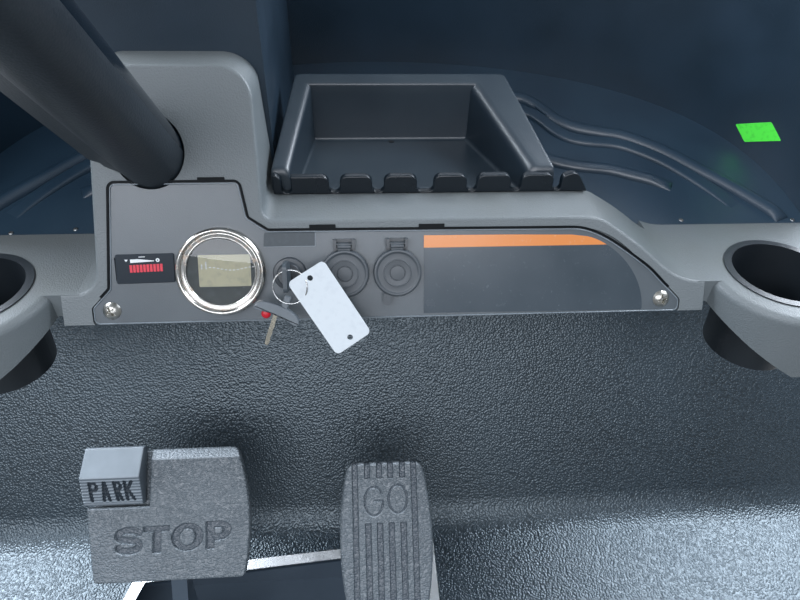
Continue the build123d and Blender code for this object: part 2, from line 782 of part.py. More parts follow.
# Light edging round the pedal slot.
with BuildPart() as slot_trim:
    with BuildSketch(Plane.XY.offset(PAN_T + MAT_T)):
        with BuildLine():
            slot_outline(TRIM_W)
        make_face()
        with BuildLine():
            slot_outline(-1)
        make_face(mode=Mode.SUBTRACT)
    extrude(amount=1.5)
save(slot_trim, "slot_trim")

# Steel box under the slot that carries the pedal shaft.
slot_centre = (sum(SLOT_X) / 2, (SLOT_NEAR_Y + SLOT_FAR_Y[1]) / 2)
slot_wide = SLOT_X[1] - SLOT_X[0]
slot_deep = SLOT_FAR_Y[1] - SLOT_NEAR_Y
with BuildPart() as pedal_box:
    with BuildSketch(Plane.XY):
        with Locations(slot_centre):
            Rectangle(slot_wide + 30, slot_deep + 24)
    extrude(amount=-BOX_T)
    with BuildSketch(Plane.XY):
        with Locations(slot_centre):
            Rectangle(slot_wide + 2 * BOX_T, slot_deep + 2 * BOX_T)
    extrude(amount=-BOX_DEEP)
    with BuildSketch(Plane.XY):
        with Locations(slot_centre):
            Rectangle(slot_wide, slot_deep)
    extrude(amount=-BOX_DEEP + BOX_T, mode=Mode.SUBTRACT)
save(pedal_box, "pedal_box")

with BuildPart() as pedal_shaft:
    with BuildSketch(Plane(origin=(SLOT_X[0], PIVOT_Y, PIVOT_Z), x_dir=(0, 1, 0), z_dir=(1, 0, 0))):
        Circle(PIVOT_R)
    extrude(amount=SLOT_X[1] - SLOT_X[0])
save(pedal_shaft, "pedal_shaft")


def pad_plane(centre):
    """Plane of a pedal pad's top face: tilted toward the driver."""
    tilt = radians(PAD_TILT)
    return Plane(origin=centre, x_dir=(1, 0, 0), z_dir=(0, -sin(tilt), cos(tilt)))


# Pedal arms: hub on the shaft and a bent flat arm that ends in a plate under the pad.
for centre, name in ((BRAKE_C, "brake_arm"), (GO_C, "accelerator_arm")):
    under = Vector(pad_plane(centre).from_local_coords((0, 0, -PAD_T)))
    with BuildPart() as pedal_arm:
        with BuildSketch(Plane(origin=(centre[0], 0, 0), x_dir=(0, 1, 0), z_dir=(1, 0, 0))):
            with BuildLine():
                FilletPolyline(
                    (PIVOT_Y - 11, PIVOT_Z), (PIVOT_Y - 4, 70), (under.Y - 14, under.Z - 20),
                    (under.Y - 6, under.Z - 1), (under.Y + 12, under.Z - 1),
                    (PIVOT_Y + 20, 70), (PIVOT_Y + 11, PIVOT_Z),
                    radius=6,
                )
                Line((PIVOT_Y - 11, PIVOT_Z), (PIVOT_Y + 11, PIVOT_Z))
            make_face()
            with Locations((PIVOT_Y, PIVOT_Z)):
                Circle(13)
                Circle(PIVOT_R + RUN_FIT, mode=Mode.SUBTRACT)
        extrude(amount=8, both=True)
        with BuildSketch(Plane(
            origin=(centre[0], PIVOT_Y, PIVOT_Z), x_dir=(0, 1, 0), z_dir=(1, 0, 0)
        )):
            Circle(13)
            Circle(PIVOT_R + RUN_FIT, mode=Mode.SUBTRACT)
        extrude(amount=24, both=True)
        with BuildSketch(pad_plane(centre).offset(-PAD_T)):
            Rectangle(50, 60)
        extrude(amount=-4)
        with BuildSketch(pad_plane(centre).offset(-PAD_T)):
            Rectangle(100, 120)
        extrude(amount=40, mode=Mode.SUBTRACT)
    save(pedal_arm, name)

# Brake pad: wide, its right side bowed, with a corner left out for the parking pad.
bw, bl = BRAKE_SIZE[0] / 2, BRAKE_SIZE[1] / 2
with BuildPart() as brake_pad:
    with BuildSketch(pad_plane(BRAKE_C)):
        with BuildLine():
            ThreePointArc((bw - 7, -bl), (bw - 2, 5), (bw - 15, bl))
            Polyline(
                (bw - 15, bl), (-21, bl), (-21, PARK_V[0] - 3), (-bw - 6, PARK_V[0] - 3),
                (-bw + 3, -bl), (bw - 7, -bl),
            )
        make_face()
        fillet(vertices(), 5)
    extrude(amount=-PAD_T)
    with BuildSketch(pad_plane(BRAKE_C).offset(-PAD_T)):
        with Locations((-46, bl / 2 - 4)):
            Rectangle(66, bl + 2)
    extrude(amount=3)
    with BuildSketch(pad_plane(BRAKE_C).offset(-PAD_T + 3)):
        with Locations((sum(PARK_X) / 2, bl / 2)):
            Rectangle(36, 30)
    extrude(amount=4)
save(brake_pad, "brake_pad")

# Parking pad: a roof-shaped block in the corner of the brake pad.
with BuildPart() as park_pad:
    with BuildSketch(Plane(
        origin=pad_plane(BRAKE_C).from_local_coords((PARK_X[0], 0, 0)),
        x_dir=pad_plane(BRAKE_C).y_dir, z_dir=(1, 0, 0),
    )):
        with BuildLine():
            FilletPolyline(
                (PARK_V[0], 7 - PAD_T), (PARK_V[0], 2), (PARK_V[1], 15), (PARK_V[2], 3),
                (PARK_V[2], 7 - PAD_T), radius=2, close=True,
            )
        make_face()
    extrude(amount=PARK_X[1] - PARK_X[0])
save(park_pad, "park_pad")

with BuildPart() as accelerator_pad:
    with BuildSketch(pad_plane(GO_C)):
        with BuildLine():
            half_w = GO_SIZE[0] / 2
            half_l = GO_SIZE[1] / 2
            ThreePointArc((-half_w + 9, -half_l), (-half_w, 0), (-half_w + 9, half_l))
            Line((-half_w + 9, half_l), (half_w - 9, half_l))
            ThreePointArc((half_w - 9, half_l), (half_w, 0), (half_w - 9, -half_l))
            Line((half_w - 9, -half_l), (-half_w + 9, -half_l))
        make_face()
    extrude(amount=-PAD_T)
save(accelerator_pad, "accelerator_pad")

# Steering column: tube with its shaft inside, split cover, flange at the toe board.
with BuildPart() as column_tube:
    with BuildSketch(COLUMN.offset(TUBE_LOW)):
        Circle(TUBE_R)
        Circle(TUBE_BORE, mode=Mode.SUBTRACT)
    extrude(amount=TUBE_TOP - TUBE_LOW)
    for start in (TUBE_LOW, TUBE_TOP - 16):
        with BuildSketch(COLUMN.offset(start)):
            Circle(TUBE_R)
            Circle(SHAFT_R + RUN_FIT, mode=Mode.SUBTRACT)
        extrude(amount=16)
save(column_tube, "column_tube")

for side, name in ((1, "column_cover_upper"), (-1, "column_cover_lower")):
    with BuildPart() as cover:
        with BuildSketch(COLUMN.offset(COVER_LOW)):
            Circle(COVER_R)
            with Locations((0, -side * 50)):
                Rectangle(120, 100, mode=Mode.SUBTRACT)
        extrude(amount=COVER_TOP - COVER_LOW)
        if side == -1:
            for start, end, reach in ((5, 20, 33.0), (20, COVER_TOP - 40, FLANGE_REACH)):
                with BuildSketch(COLUMN.offset(start)):
                    with BuildLine():
                        Polyline(
                            (0, 0), (-reach, 0), (-reach, -11), (3 - reach, -14),
                            (-16, -20), (0, 0),
                        )
                    make_face()
                extrude(amount=end - start)
                with BuildSketch(COLUMN.offset(start + COVER_T)):
                    with BuildLine():
                        Polyline(
                            (-16, -COVER_T), (COVER_T - reach, -COVER_T),
                            (COVER_T - reach, -10), (-16, -16), (-16, -COVER_T),
                        )
                    make_face()
                extrude(amount=end - start - 2 * COVER_T, mode=Mode.SUBTRACT)
        with BuildSketch(COLUMN.offset(COVER_LOW)):
            Circle(COVER_R - COVER_T)
        extrude(amount=COVER_TOP - COVER_LOW, mode=Mode.SUBTRACT)
        for start in (COVER_TOP - 24, 20):
            with BuildSketch(COLUMN.offset(start)):
                Circle(COVER_R - COVER_T / 2)
                Circle(TUBE_R, mode=Mode.SUBTRACT)
                with Locations((0, -side * 50)):
                    Rectangle(120, 100, mode=Mode.SUBTRACT)
            extrude(amount=4)
    save(cover, name)

TOE_N = Vector(0, -sin(radians(TOE_RISE)), cos(radians(TOE_RISE)))
toe_gap = TOE_N.dot(COLUMN.origin - Vector(0, BEND_Y, 0)) - PAN_T - MAT_T
TOE_HIT = COLUMN.origin - COLUMN.z_dir * (toe_gap / TOE_N.dot(COLUMN.z_dir))
with BuildPart() as column_flange:
    with BuildSketch(Plane(origin=TOE_HIT, x_dir=(1, 0, 0), z_dir=TOE_N)):
        Circle(TUBE_R + 24)
    extrude(amount=10)
    with BuildSketch(COLUMN.offset(TUBE_LOW)):
        Circle(TUBE_R)
    extrude(amount=200, mode=Mode.SUBTRACT)
save(column_flange, "column_flange")

with BuildPart() as steering_shaft:
    with BuildSketch(COLUMN.offset(TUBE_LOW - 50)):
        Circle(SHAFT_R)
    extrude(amount=WHEEL_T + 12 - TUBE_LOW + 50)
save(steering_shaft, "steering_shaft")

# Steering wheel: padded rim, three spokes and a centre cap.
with BuildPart() as wheel_rim:
    with BuildSketch(Plane(origin=COLUMN.from_local_coords((0, 0, WHEEL_T)),
                           x_dir=COLUMN.x_dir, z_dir=COLUMN.y_dir)):
        with Locations((WHEEL_R, 0)):
            Circle(GRIP_R)
    revolve(axis=Axis(COLUMN.from_local_coords((0, 0, WHEEL_T)), COLUMN.z_dir))
    with BuildSketch(COLUMN.offset(WHEEL_T - 4)):
        for angle in SPOKES:
            with Locations((84 * cos(radians(angle)), 84 * sin(radians(angle)))):
                Rectangle(148, 30, rotation=angle)
    extrude(amount=4, mode=Mode.SUBTRACT)
save(wheel_rim, "wheel_rim")

with BuildPart() as wheel_spokes:
    with BuildSketch(COLUMN.offset(WHEEL_T - 24)):
        Circle(34)
        Circle(SHAFT_R, mode=Mode.SUBTRACT)
    extrude(amount=20)
    with BuildSketch(COLUMN.offset(WHEEL_T - 4)):
        Circle(34)
        for angle in SPOKES:
            with Locations((84 * cos(radians(angle)), 84 * sin(radians(angle)))):
                Rectangle(148, 30, rotation=angle)
        Circle(SHAFT_R, mode=Mode.SUBTRACT)
    extrude(amount=4)
save(wheel_spokes, "wheel_spokes")

with BuildPart() as hub_cap:
    with BuildSketch(COLUMN.offset(WHEEL_T + 12)):
        Circle(32)
    extrude(amount=12)
save(hub_cap, "hub_cap")
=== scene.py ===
import math

import bpy
import numpy as np
from mathutils import Matrix, Vector


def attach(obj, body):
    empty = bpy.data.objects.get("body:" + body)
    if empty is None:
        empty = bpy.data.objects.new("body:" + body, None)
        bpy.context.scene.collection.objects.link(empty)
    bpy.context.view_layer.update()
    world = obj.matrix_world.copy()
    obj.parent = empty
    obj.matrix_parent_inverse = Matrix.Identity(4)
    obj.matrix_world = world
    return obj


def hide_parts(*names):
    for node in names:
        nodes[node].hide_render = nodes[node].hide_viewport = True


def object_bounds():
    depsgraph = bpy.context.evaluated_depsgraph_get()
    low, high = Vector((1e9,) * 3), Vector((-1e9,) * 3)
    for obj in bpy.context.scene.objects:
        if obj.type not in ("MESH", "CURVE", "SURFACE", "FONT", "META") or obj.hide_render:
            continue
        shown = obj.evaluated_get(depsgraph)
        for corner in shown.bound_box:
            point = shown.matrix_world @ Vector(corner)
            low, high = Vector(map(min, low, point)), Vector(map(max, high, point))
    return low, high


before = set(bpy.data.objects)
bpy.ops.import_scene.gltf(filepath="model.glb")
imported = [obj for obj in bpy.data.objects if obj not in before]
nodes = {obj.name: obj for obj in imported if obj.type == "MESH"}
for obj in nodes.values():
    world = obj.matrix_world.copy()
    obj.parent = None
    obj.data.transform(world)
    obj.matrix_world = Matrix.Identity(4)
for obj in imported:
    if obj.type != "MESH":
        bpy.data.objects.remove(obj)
cad_box = [list(corner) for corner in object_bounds()]
scene = bpy.context.scene

# Floor pan, pedal box and column tube.
# The floor is 3 mm sheet steel, bent up once to the toe board, powder coated black and bolted to
# the chassis through the strips outside the mat. The pedal box and the arms have a grey coat.


def linear(code):
    """An sRGB hex colour as the linear RGBA that a shader wants."""
    parts = [int(code[i:i + 2], 16) / 255 for i in (1, 3, 5)]
    return [p / 12.92 if p <= 0.04045 else ((p + 0.055) / 1.055) ** 2.4 for p in parts] + [1.0]


def add(owner, kind, links=None, **settings):
    """Adds a node beside its owner, a tree or a socket: settings are its options, links fills its inputs by values
    or sockets."""
    tree = owner.id_data
    node = tree.nodes.new("ShaderNode" + kind)
    for option, value in settings.items():
        setattr(node, option, value)
    for slot, value in (links or {}).items():
        if isinstance(value, bpy.types.NodeSocket):
            tree.links.new(value, node.inputs[slot])
        else:
            node.inputs[slot].default_value = value
    return node


def surfaced(name, base, **shader):
    """A new material with its Principled shader, which takes base as its colour, and its Object coordinates."""
    material = bpy.data.materials.new(name)
    material.use_nodes = True
    tree = material.node_tree
    tree.nodes.clear()
    place = add(tree, "TexCoord").outputs["Object"]
    inputs = {socket.replace("_", " "): value for socket, value in shader.items()}
    bsdf = add(tree, "BsdfPrincipled", {"Base Color": linear(base), **inputs})
    add(tree, "OutputMaterial", {"Surface": bsdf.outputs[0]})
    return material, place


def blend(factor, first, second):
    """Mixes two colours, each a hex code or a socket, by a factor."""
    pair = {slot: linear(value) if isinstance(value, str) else value for slot, value in ((6, first), (7, second))}
    return add(factor, "Mix", {0: factor, **pair}, data_type="RGBA").outputs[2]


def spread(factor, low, high, from_low=0.0, from_high=1.0):
    """Spreads a factor that runs from from_low to from_high over low to high."""
    return add(factor, "MapRange", {
        "Value": factor, "From Min": from_low, "From Max": from_high, "To Min": low, "To Max": high,
    }).outputs[0]


def noise(place, size_mm, detail, **more):
    """A noise with features of about size_mm: 1000 / size_mm of them to the metre."""
    more = {"Vector": place, "Scale": 1000 / size_mm, "Detail": detail, **more}
    return add(place, "TexNoise", more).outputs[0]


def finish(material, colour=None, rough=None, height=None, depth_mm=0.0):
    """Joins the colour, the roughness and a bump of depth_mm to the shader, and gives the material."""
    tree = material.node_tree
    if height is not None:
        height = add(tree, "Bump", {"Height": height, "Distance": depth_mm / 1000}).outputs[0]
    for slot, socket in (("Base Color", colour), ("Roughness", rough), ("Normal", height)):
        if socket is not None:
            tree.links.new(socket, tree.nodes["Principled BSDF"].inputs[slot])
    return material


def dress(material, *names):
    """Puts the material on CAD nodes that are kept."""
    for name in names:
        data = nodes[name].data
        data.materials.clear()
        data.materials.append(material)


def powder_coat(name, dark, light):
    """Powder coated steel: an orange peel of about 2 mm breaks up a half-gloss that dust dulls in patches."""
    material, place = surfaced(name, dark, Roughness=0.42)
    dust = noise(place, 90, 6.0)
    return finish(material, blend(dust, dark, light), spread(dust, 0.34, 0.58), noise(place, 2.2, 2.0), 0.12)


dress(powder_coat("black_powder_coat", "#1f2a35", "#33404c"), "floor_pan", "column_tube")
dress(powder_coat("grey_powder_coat", "#3c4854", "#505d69"), "pedal_box", "brake_arm", "accelerator_arm")

# Floor mat.
# One moulded sheet of black rubber from the seat to the top of the toe board, laid loose. Feet
# have polished its pebble grain of about 3 mm, so it glints in low light, and dust greys it.


def pebbles(place, grid, grain_mm, sway, reach):
    """Rounded cells of grain_mm on a grid, 1 at their middles. The colour of a noise of scale sway / grain_mm,
    times grain_mm / reach, bends the grid first."""
    drift = add(place, "TexNoise", {"Vector": place, "Scale": sway / grain_mm, "Detail": 2.0})
    shift = add(place, "VectorMath", {0: drift.outputs["Color"], "Scale": grain_mm / reach}, operation="SCALE")
    bent = add(place, "VectorMath", {0: grid, 1: shift.outputs[0]}, operation="ADD")
    cell = add(place, "TexVoronoi", {"Vector": bent.outputs[0], "Scale": 1000 / grain_mm})
    return spread(cell.outputs["Distance"], 1.0, 0.0, 0.1, 0.8)


def pebbled_rubber(name, dark, light, grain_mm, depth_mm, shine, ior=1.5, bloom_mm=160):
    """Moulded rubber: rounded pebbles with narrow valleys, greyed in slow patches by dust. The valleys take the
    dark colour and the tops the light one, as painted shade in the grain.
    """
    material, place = surfaced(name, dark, Roughness=0.5, Specular_IOR_Level=0.9, IOR=ior,
                               Specular_Tint=linear("#deedf5"))
    top, bloom = pebbles(place, place, grain_mm, 300, 900), noise(place, bloom_mm, 5.0)
    # Painted shade: pebble valleys darker than their tops. The slow patches are dust.
    dust_and_valley_shade = blend(spread(bloom, 0.0, 0.7, 0.3, 0.75), blend(top, dark, light), light)
    return finish(material, dust_and_valley_shade, spread(bloom, *shine), top, depth_mm)


dress(pebbled_rubber("moulded_mat_rubber", "#050b10", "#222e37", 2.6, 0.45, (0.3, 0.38), 1.58), "floor_mat")

# Edging of the pedal slot.
# A bright strip of satin aluminium that holds the mat down round the opening.


def drawn_metal(name, base, rough):
    """Metal drawn along X: a noise stretched fourteen times gives the lines, a slow one the duller places."""
    material, place = surfaced(name, base, Metallic=1.0, Roughness=rough)
    long = add(place, "Mapping", {"Vector": place, "Scale": (1.0, 14.0, 14.0)}).outputs[0]
    dull = spread(noise(place, 1000 / 60, 3.0), rough * 0.7, rough * 1.5)
    return finish(material, None, dull, noise(long, 1000 / 70, 4.0), 0.02)


dress(drawn_metal("satin_aluminium", "#f0f2f3", 0.42), "slot_trim")
dress(drawn_metal("turned_steel", "#8d8f92", 0.3), "pedal_shaft", "steering_shaft")

# Brake pad.
# A thick moulded rubber block, 158 by 127 mm, with a rounded edge, a fine leather grain and
# the word STOP sunk into it. It is bonded to the plate on the pedal arm.


def leaning_plane(origin, lean):
    """A placer on a plane that leans back by lean degrees: takes across, up and out in mm, gives metres."""
    t = math.radians(lean)
    turn = np.array(((1, 0, 0), (0, math.sin(t), math.cos(t)), (0, -math.cos(t), math.sin(t))))

    def put(across, up, out):
        shape = np.broadcast_arrays(np.asarray(across, float), up, out)
        return (np.stack(shape, -1).reshape(-1, 3) @ turn + origin) / 1000
    return put


def weave(rows, cols, wrap_rows=False, wrap_cols=False, keep=None):
    """Quads between the neighbours of a rows by cols grid, joined round where a side wraps."""
    at = np.pad(np.arange(rows * cols).reshape(rows, cols), ((0, wrap_rows), (0, wrap_cols)), "wrap")
    quads = np.stack((at[:-1, :-1], at[:-1, 1:], at[1:, 1:], at[1:, :-1]), -1)
    return (quads.reshape(-1, 4) if keep is None else quads[keep]).tolist()


def join(*blocks):
    """Puts blocks of points and faces together as one."""
    points, faces, start = [], [], 0
    for block_points, block_faces in blocks:
        points.append(block_points)
        faces += [[corner + start for corner in face] for face in block_faces]
        start += len(block_points)
    return np.concatenate(points), faces


def make_piece(name, block, slot, material, *hides, body="cockpit", crease=38, marks=None):
    """A piece from a block of points and faces, turned out by the sign of the volume inside. Marks of 0 to 1 go to
    its first points, as the attribute sunk, which the rubber materials paint darker as shade."""
    mesh = bpy.data.meshes.new(name)
    mesh.from_pydata(block[0].tolist(), [], block[1])
    mesh.validate()
    mesh.calc_loop_triangles()
    corners = np.empty(len(mesh.loop_triangles) * 3, np.int32)
    mesh.loop_triangles.foreach_get("vertices", corners)
    a, b, c = block[0][corners.reshape(-1, 3)].transpose(1, 0, 2)
    if np.einsum("ij,ij->i", a, np.cross(b, c)).sum() < 0:
        mesh.flip_normals()
    mesh.polygons.foreach_set("use_smooth", np.ones(len(mesh.polygons), bool))
    mesh.set_sharp_from_angle(angle=math.radians(crease))
    if marks is not None:
        share = np.zeros(len(block[0]), np.float32)
        share[:marks.size] = np.clip(marks.ravel(), 0, 1)
        mesh.attributes.new("sunk", "FLOAT", "POINT").data.foreach_set("value", share)
    mesh.materials.append(material)
    piece = bpy.data.objects.new(name, mesh)
    scene.collection.objects.link(piece)
    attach(piece, body)
    if hides:
        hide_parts(*hides)


def corner_pull(a, b, r):
    """Draws a square corner in to a round one: the distance from either edge grows by r p (1 - (1 - q^2/2)^0.5),
    where p and q are 1 less the distances over r."""
    p, q = np.clip(1 - a / r, 0, 1), np.clip(1 - b / r, 0, 1)
    return a + r * p * (1 - np.sqrt(1 - q * q / 2)), b + r * q * (1 - np.sqrt(1 - p * p / 2))


def edge_gap(a, b, r):
    """Distance to the nearer of two edges that meet in a corner of radius r."""
    return np.minimum(np.minimum(a, b), r - np.hypot(np.clip(r - a, 0, None), np.clip(r - b, 0, None)))


def rolled(gap, r):
    """How far a rounded edge of radius r has dropped at that gap from it: r - (r^2 - (r - gap)^2)^0.5."""
    return r - np.sqrt(np.clip(r * r - np.clip(r - gap, 0, r) ** 2, 0, None))


def sunk(field, depth, soft=0.9):
    """Depth of a sunk shape whose field is below 0 inside: it falls over soft mm at its edge."""
    t = np.clip(0.5 - field / soft, 0, 1)
    return depth * t * t * (3 - 2 * t)


def strokes(x, y, runs, half):
    """Field of strokes along runs of x, y points: the distance to the nearest run less half the width."""
    field = np.full(x.shape, 99.0)
    for run in runs:
        for (ax, ay), (bx, by) in zip(run[:-1], run[1:]):
            wide, high = bx - ax, by - ay
            t = np.clip(((x - ax) * wide + (y - ay) * high) / (wide ** 2 + high ** 2), 0, 1)
            field = np.minimum(field, np.hypot(x - ax - t * wide, y - ay - t * high))
    return field - half


def bow(cx, cy, rx, ry, start, end, count=22):
    """Points of an elliptic arc from start to end degrees."""
    t = np.radians(np.linspace(start, end, count))
    return list(zip(cx + rx * np.cos(t), cy + ry * np.sin(t)))


def oval(x, y, cx, cy, rx, ry):
    """Field of an ellipse: its scaled radius less 1, times its mean radius."""
    return (np.hypot((x - cx) / rx, (y - cy) / ry) - 1) * (rx + ry) / 2


def bar(x, y, x0, x1, y0, y1):
    """Field of a rectangle."""
    return np.maximum(np.maximum(x0 - x, x - x1), np.maximum(y0 - y, y - y1))


brake_plane = leaning_plane((-223.0, 212.0, 172.0), 48.0)
half_high, notch_x, notch_y = 63.5, -21, 9
rows_low, rows_high, cols_left, cols_right = 100, 76, 80, 132
up_low, up_high = np.linspace(-half_high, notch_y, rows_low), np.linspace(notch_y, half_high, rows_high)
up = np.concatenate((up_low, up_high[1:]))[:, None]
right_side = np.polyval(np.polyfit((-half_high, 5, half_high), (73.0, 78.0, 66.0), 2), up)
left_side = -82.5 + (notch_y - up) * 9 / 72.5
share_left, share_right = np.linspace(0, 1, cols_left + 1)[:-1], np.linspace(0, 1, cols_right)
across = np.concatenate((left_side + (notch_x - left_side) * share_left,
                         notch_x + (right_side - notch_x) * share_right), 1)
up = np.repeat(up, across.shape[1], 1)
for side_x, side_y, reach in ((right_side - across, half_high - up, "rt"), (right_side - across, up + half_high, "rb"),
                              (across - left_side, up + half_high, "lb")):
    new_x, new_y = corner_pull(side_x, side_y, 6.0 if reach == "rt" else 3.5)
    across = across + (side_x - new_x) * (1 if reach[0] == "r" else -1)
    up = up + (side_y - new_y) * (1 if reach[1] == "t" else -1)
to_right, to_left, to_top, to_foot = right_side - across, across - left_side, half_high - up, up + half_high
past_x, past_y = across - notch_x, notch_y - up
inner = np.where(up > notch_y, past_x, np.where(across < notch_x, past_y, np.hypot(past_x, past_y)))
gap = np.minimum.reduce([edge_gap(*edges) for edges in (
    (to_right, to_top, 6), (to_right, to_foot, 3.5), (to_left, to_foot, 3.5), (inner, to_top, 1.5),
    (inner, to_left, 1.5))])
line = up + 35.7 - 0.026 * across
letter_s = strokes(across, line, [bow(-40.2, 18.3, 10.4, 4.9, 22, 270) + bow(-40.2, 8.2, 10.6, 5.2, 90, -158)], 3.0)
letter_t = np.minimum(bar(across, line, -26.3, -0.6, 20.4, 25.2), bar(across, line, -16.2, -8.6, 0, 25.2))
letter_o = np.maximum(oval(across, line, 17.1, 13, 15.4, 13.2), -oval(across, line, 17.1, 13, 7.8, 8.2))
beyond = np.clip(across - 48, 0, None)
letter_p = np.maximum.reduce((oval(beyond, line, 0, 17, 12, 9.1), -oval(beyond, line, 0, 17, 4.4, 3.4), 36 - across))
letter_p = np.minimum(letter_p, bar(across, line, 35.6, 43.4, 0, 26))
word = sunk(np.minimum.reduce((letter_s, letter_t, letter_o, letter_p)), 3.0, 1.5)
upper_lip = np.clip((up - 53.5) / 10, 0, 1) ** 1.5 * 7.0
out = -0.9 * ((across / 79) ** 2 + (up / 63) ** 2) - rolled(gap, 2.6) - word - upper_lip
notched = (up[:-1, :-1] >= notch_y - 0.1) & (across[:-1, :-1] < notch_x - 0.01)
top_faces = weave(*across.shape, keep=~notched)
at = np.arange(across.size).reshape(across.shape)
rim = np.concatenate((at[0], at[1:, -1], at[-1, -2:cols_left - 1:-1], at[-2:rows_low - 2:-1, cols_left],
                      at[rows_low - 1, cols_left - 1::-1], at[rows_low - 2:0:-1, 0]))


def closed_block(put, across, up, out, faces, rim, floor_out):
    """A top surface with a straight wall from its rim down to floor_out and a flat underside."""
    foot = put(across.ravel()[rim], up.ravel()[rim], floor_out)
    count, start = len(rim), across.size
    ring = np.arange(count)
    wall = np.stack((rim, np.roll(rim, -1), start + (ring + 1) % count, start + ring), -1).tolist()
    return np.concatenate((put(across, up, out), foot)), faces + wall + [(start + ring[::-1]).tolist()]


def facing_up(place, start, full):
    """1 where the piece's own surface looks up: the height of its normal, spread from start to full."""
    normal = add(place, "TexCoord").outputs["Normal"]
    return spread(add(place, "SeparateXYZ", {0: normal}).outputs[2], 0.0, 1.0, start, full)


def pedal_rubber(name, dark, light, grain_mm, depth_mm):
    """Pedal rubber: short leather wrinkles of grain_mm with valleys painted darker as shade, a pale painted
    highlight where it faces up, and painted shade where the attribute sunk is 1."""
    material, place = surfaced(name, dark, Roughness=0.5, Specular_IOR_Level=1.0)
    low = add(place, "Attribute", attribute_name="sunk").outputs["Fac"]
    long = add(place, "Mapping", {"Vector": place, "Rotation": (0.0, 0.0, 0.7), "Scale": (1.0, 1.7, 1.0)})
    height, wear = pebbles(place, long.outputs[0], grain_mm, 500, 700), noise(place, 60, 4.0)
    # Painted shade in the wrinkle valleys and in the sunk letters and grooves; a pale painted highlight on faces that
    # look up, such as the brake pad's upper lip.
    grained = blend(spread(height, 0.3, 0.0), blend(spread(wear, 0.0, 1.0, 0.3, 0.7), dark, light), "#4a545c")
    pale_painted_highlight = blend(facing_up(place, 0.8, 0.93), grained, "#a0abb3")
    return finish(material, blend(low, pale_painted_highlight, "#4a545d"), spread(wear, 0.38, 0.52), height, depth_mm)


grained_pad = pedal_rubber("grained_pedal_rubber", "#59636a", "#667077", 2.8, 0.75)
top_block = closed_block(brake_plane, across, up, out, top_faces, rim, -11.0)


def rounded(corners, radius, step=3.0):
    """Closed outline through corners: each is an arc tangent to its two sides, its centre r / sin(half the angle)
    along their bisector. Points stand every step mm between the arcs."""
    corners = np.asarray(corners, float)
    runs, arcs = [], []
    for here, before, after, r in zip(corners, np.roll(corners, 1, 0), np.roll(corners, -1, 0),
                                      np.broadcast_to(radius, len(corners))):
        a, b = (before - here) / np.linalg.norm(before - here), (after - here) / np.linalg.norm(after - here)
        half = math.acos(np.clip(a @ b, -1, 1)) / 2
        centre = here + (a + b) / np.linalg.norm(a + b) * r / math.sin(half)
        first, last = here + a * r / math.tan(half) - centre, here + b * r / math.tan(half) - centre
        turn = math.atan2(first[0] * last[1] - first[1] * last[0], first @ last)
        t = np.linspace(0, turn, max(3, int(abs(turn) * 6)))[:, None]
        arcs.append(centre + first * np.cos(t) + np.stack((-first[1], first[0])) * np.sin(t))
    for arc, following in zip(arcs, arcs[1:] + arcs[:1]):
        count = max(2, int(np.linalg.norm(following[0] - arc[-1]) / step))
        runs += [arc, arc[-1] + (following[0] - arc[-1]) * np.linspace(0, 1, count + 1)[1:-1, None]]
    return np.concatenate(runs)


def rod(rows, cols):
    """Faces of a bar: quads round each of its rows of cols points, and a flat end on the first and last row."""
    return weave(rows, cols, wrap_cols=True) + [list(range(cols))[::-1], list(range((rows - 1) * cols, rows * cols))]


def moulding(put, path, profile, closed=True):
    """A bar of closed profile (outwards, up) mm along a path: each point moves along the path's outward normal."""
    ahead, behind = np.roll(path, -1, 0), np.roll(path, 1, 0)
    if not closed:
        ahead[-1], behind[0] = 2 * path[-1] - path[-2], 2 * path[0] - path[1]
    way = ahead - behind
    way /= np.linalg.norm(way, axis=1)[:, None]
    profile = np.asarray(profile, float)
    x = path[:, :1] + way[:, 1:] * profile[:, 0]
    y = path[:, 1:] - way[:, :1] * profile[:, 0]
    return put(x, y, profile[:, 1]), weave(*x.shape, True, True) if closed else rod(*x.shape)


def plate(put, outline, low, high, ease=0.4):
    """A flat plate of that outline from low to high with its upper edge eased over."""
    steps = (0.0, low), (0.0, high - ease), (-0.3 * ease, high - 0.3 * ease), (-ease, high)
    points, _ = moulding(put, outline, steps)
    ring = np.arange(len(outline)) * len(steps)
    sides = weave(len(outline), len(steps), wrap_rows=True)
    return points, sides + [(ring + len(steps) - 1).tolist(), ring.tolist()[::-1]]


def box(x0, y0, x1, y1):
    """Corners of a rectangle."""
    return (x0, y0), (x1, y0), (x1, y1), (x0, y1)


steel_back, steel_front = -14.0, -11.1
under_pad = (-70, -58), (66, -58), (66, 58), (-14, 58), (-14, -2), (-70, -2)
bracket = join(plate(brake_plane, rounded(box(-79, -2, -14, 62), 3), steel_back, steel_front),
               plate(brake_plane, rounded(box(-74, 15, -38, 45), 2), -11.0, -7.1),
               plate(brake_plane, rounded(under_pad, 4), steel_back, steel_front))
make_piece("brake_pad_block", join(top_block, bracket), "pedal_rubber", grained_pad, "brake_pad", body="brake",
           marks=word / 3)

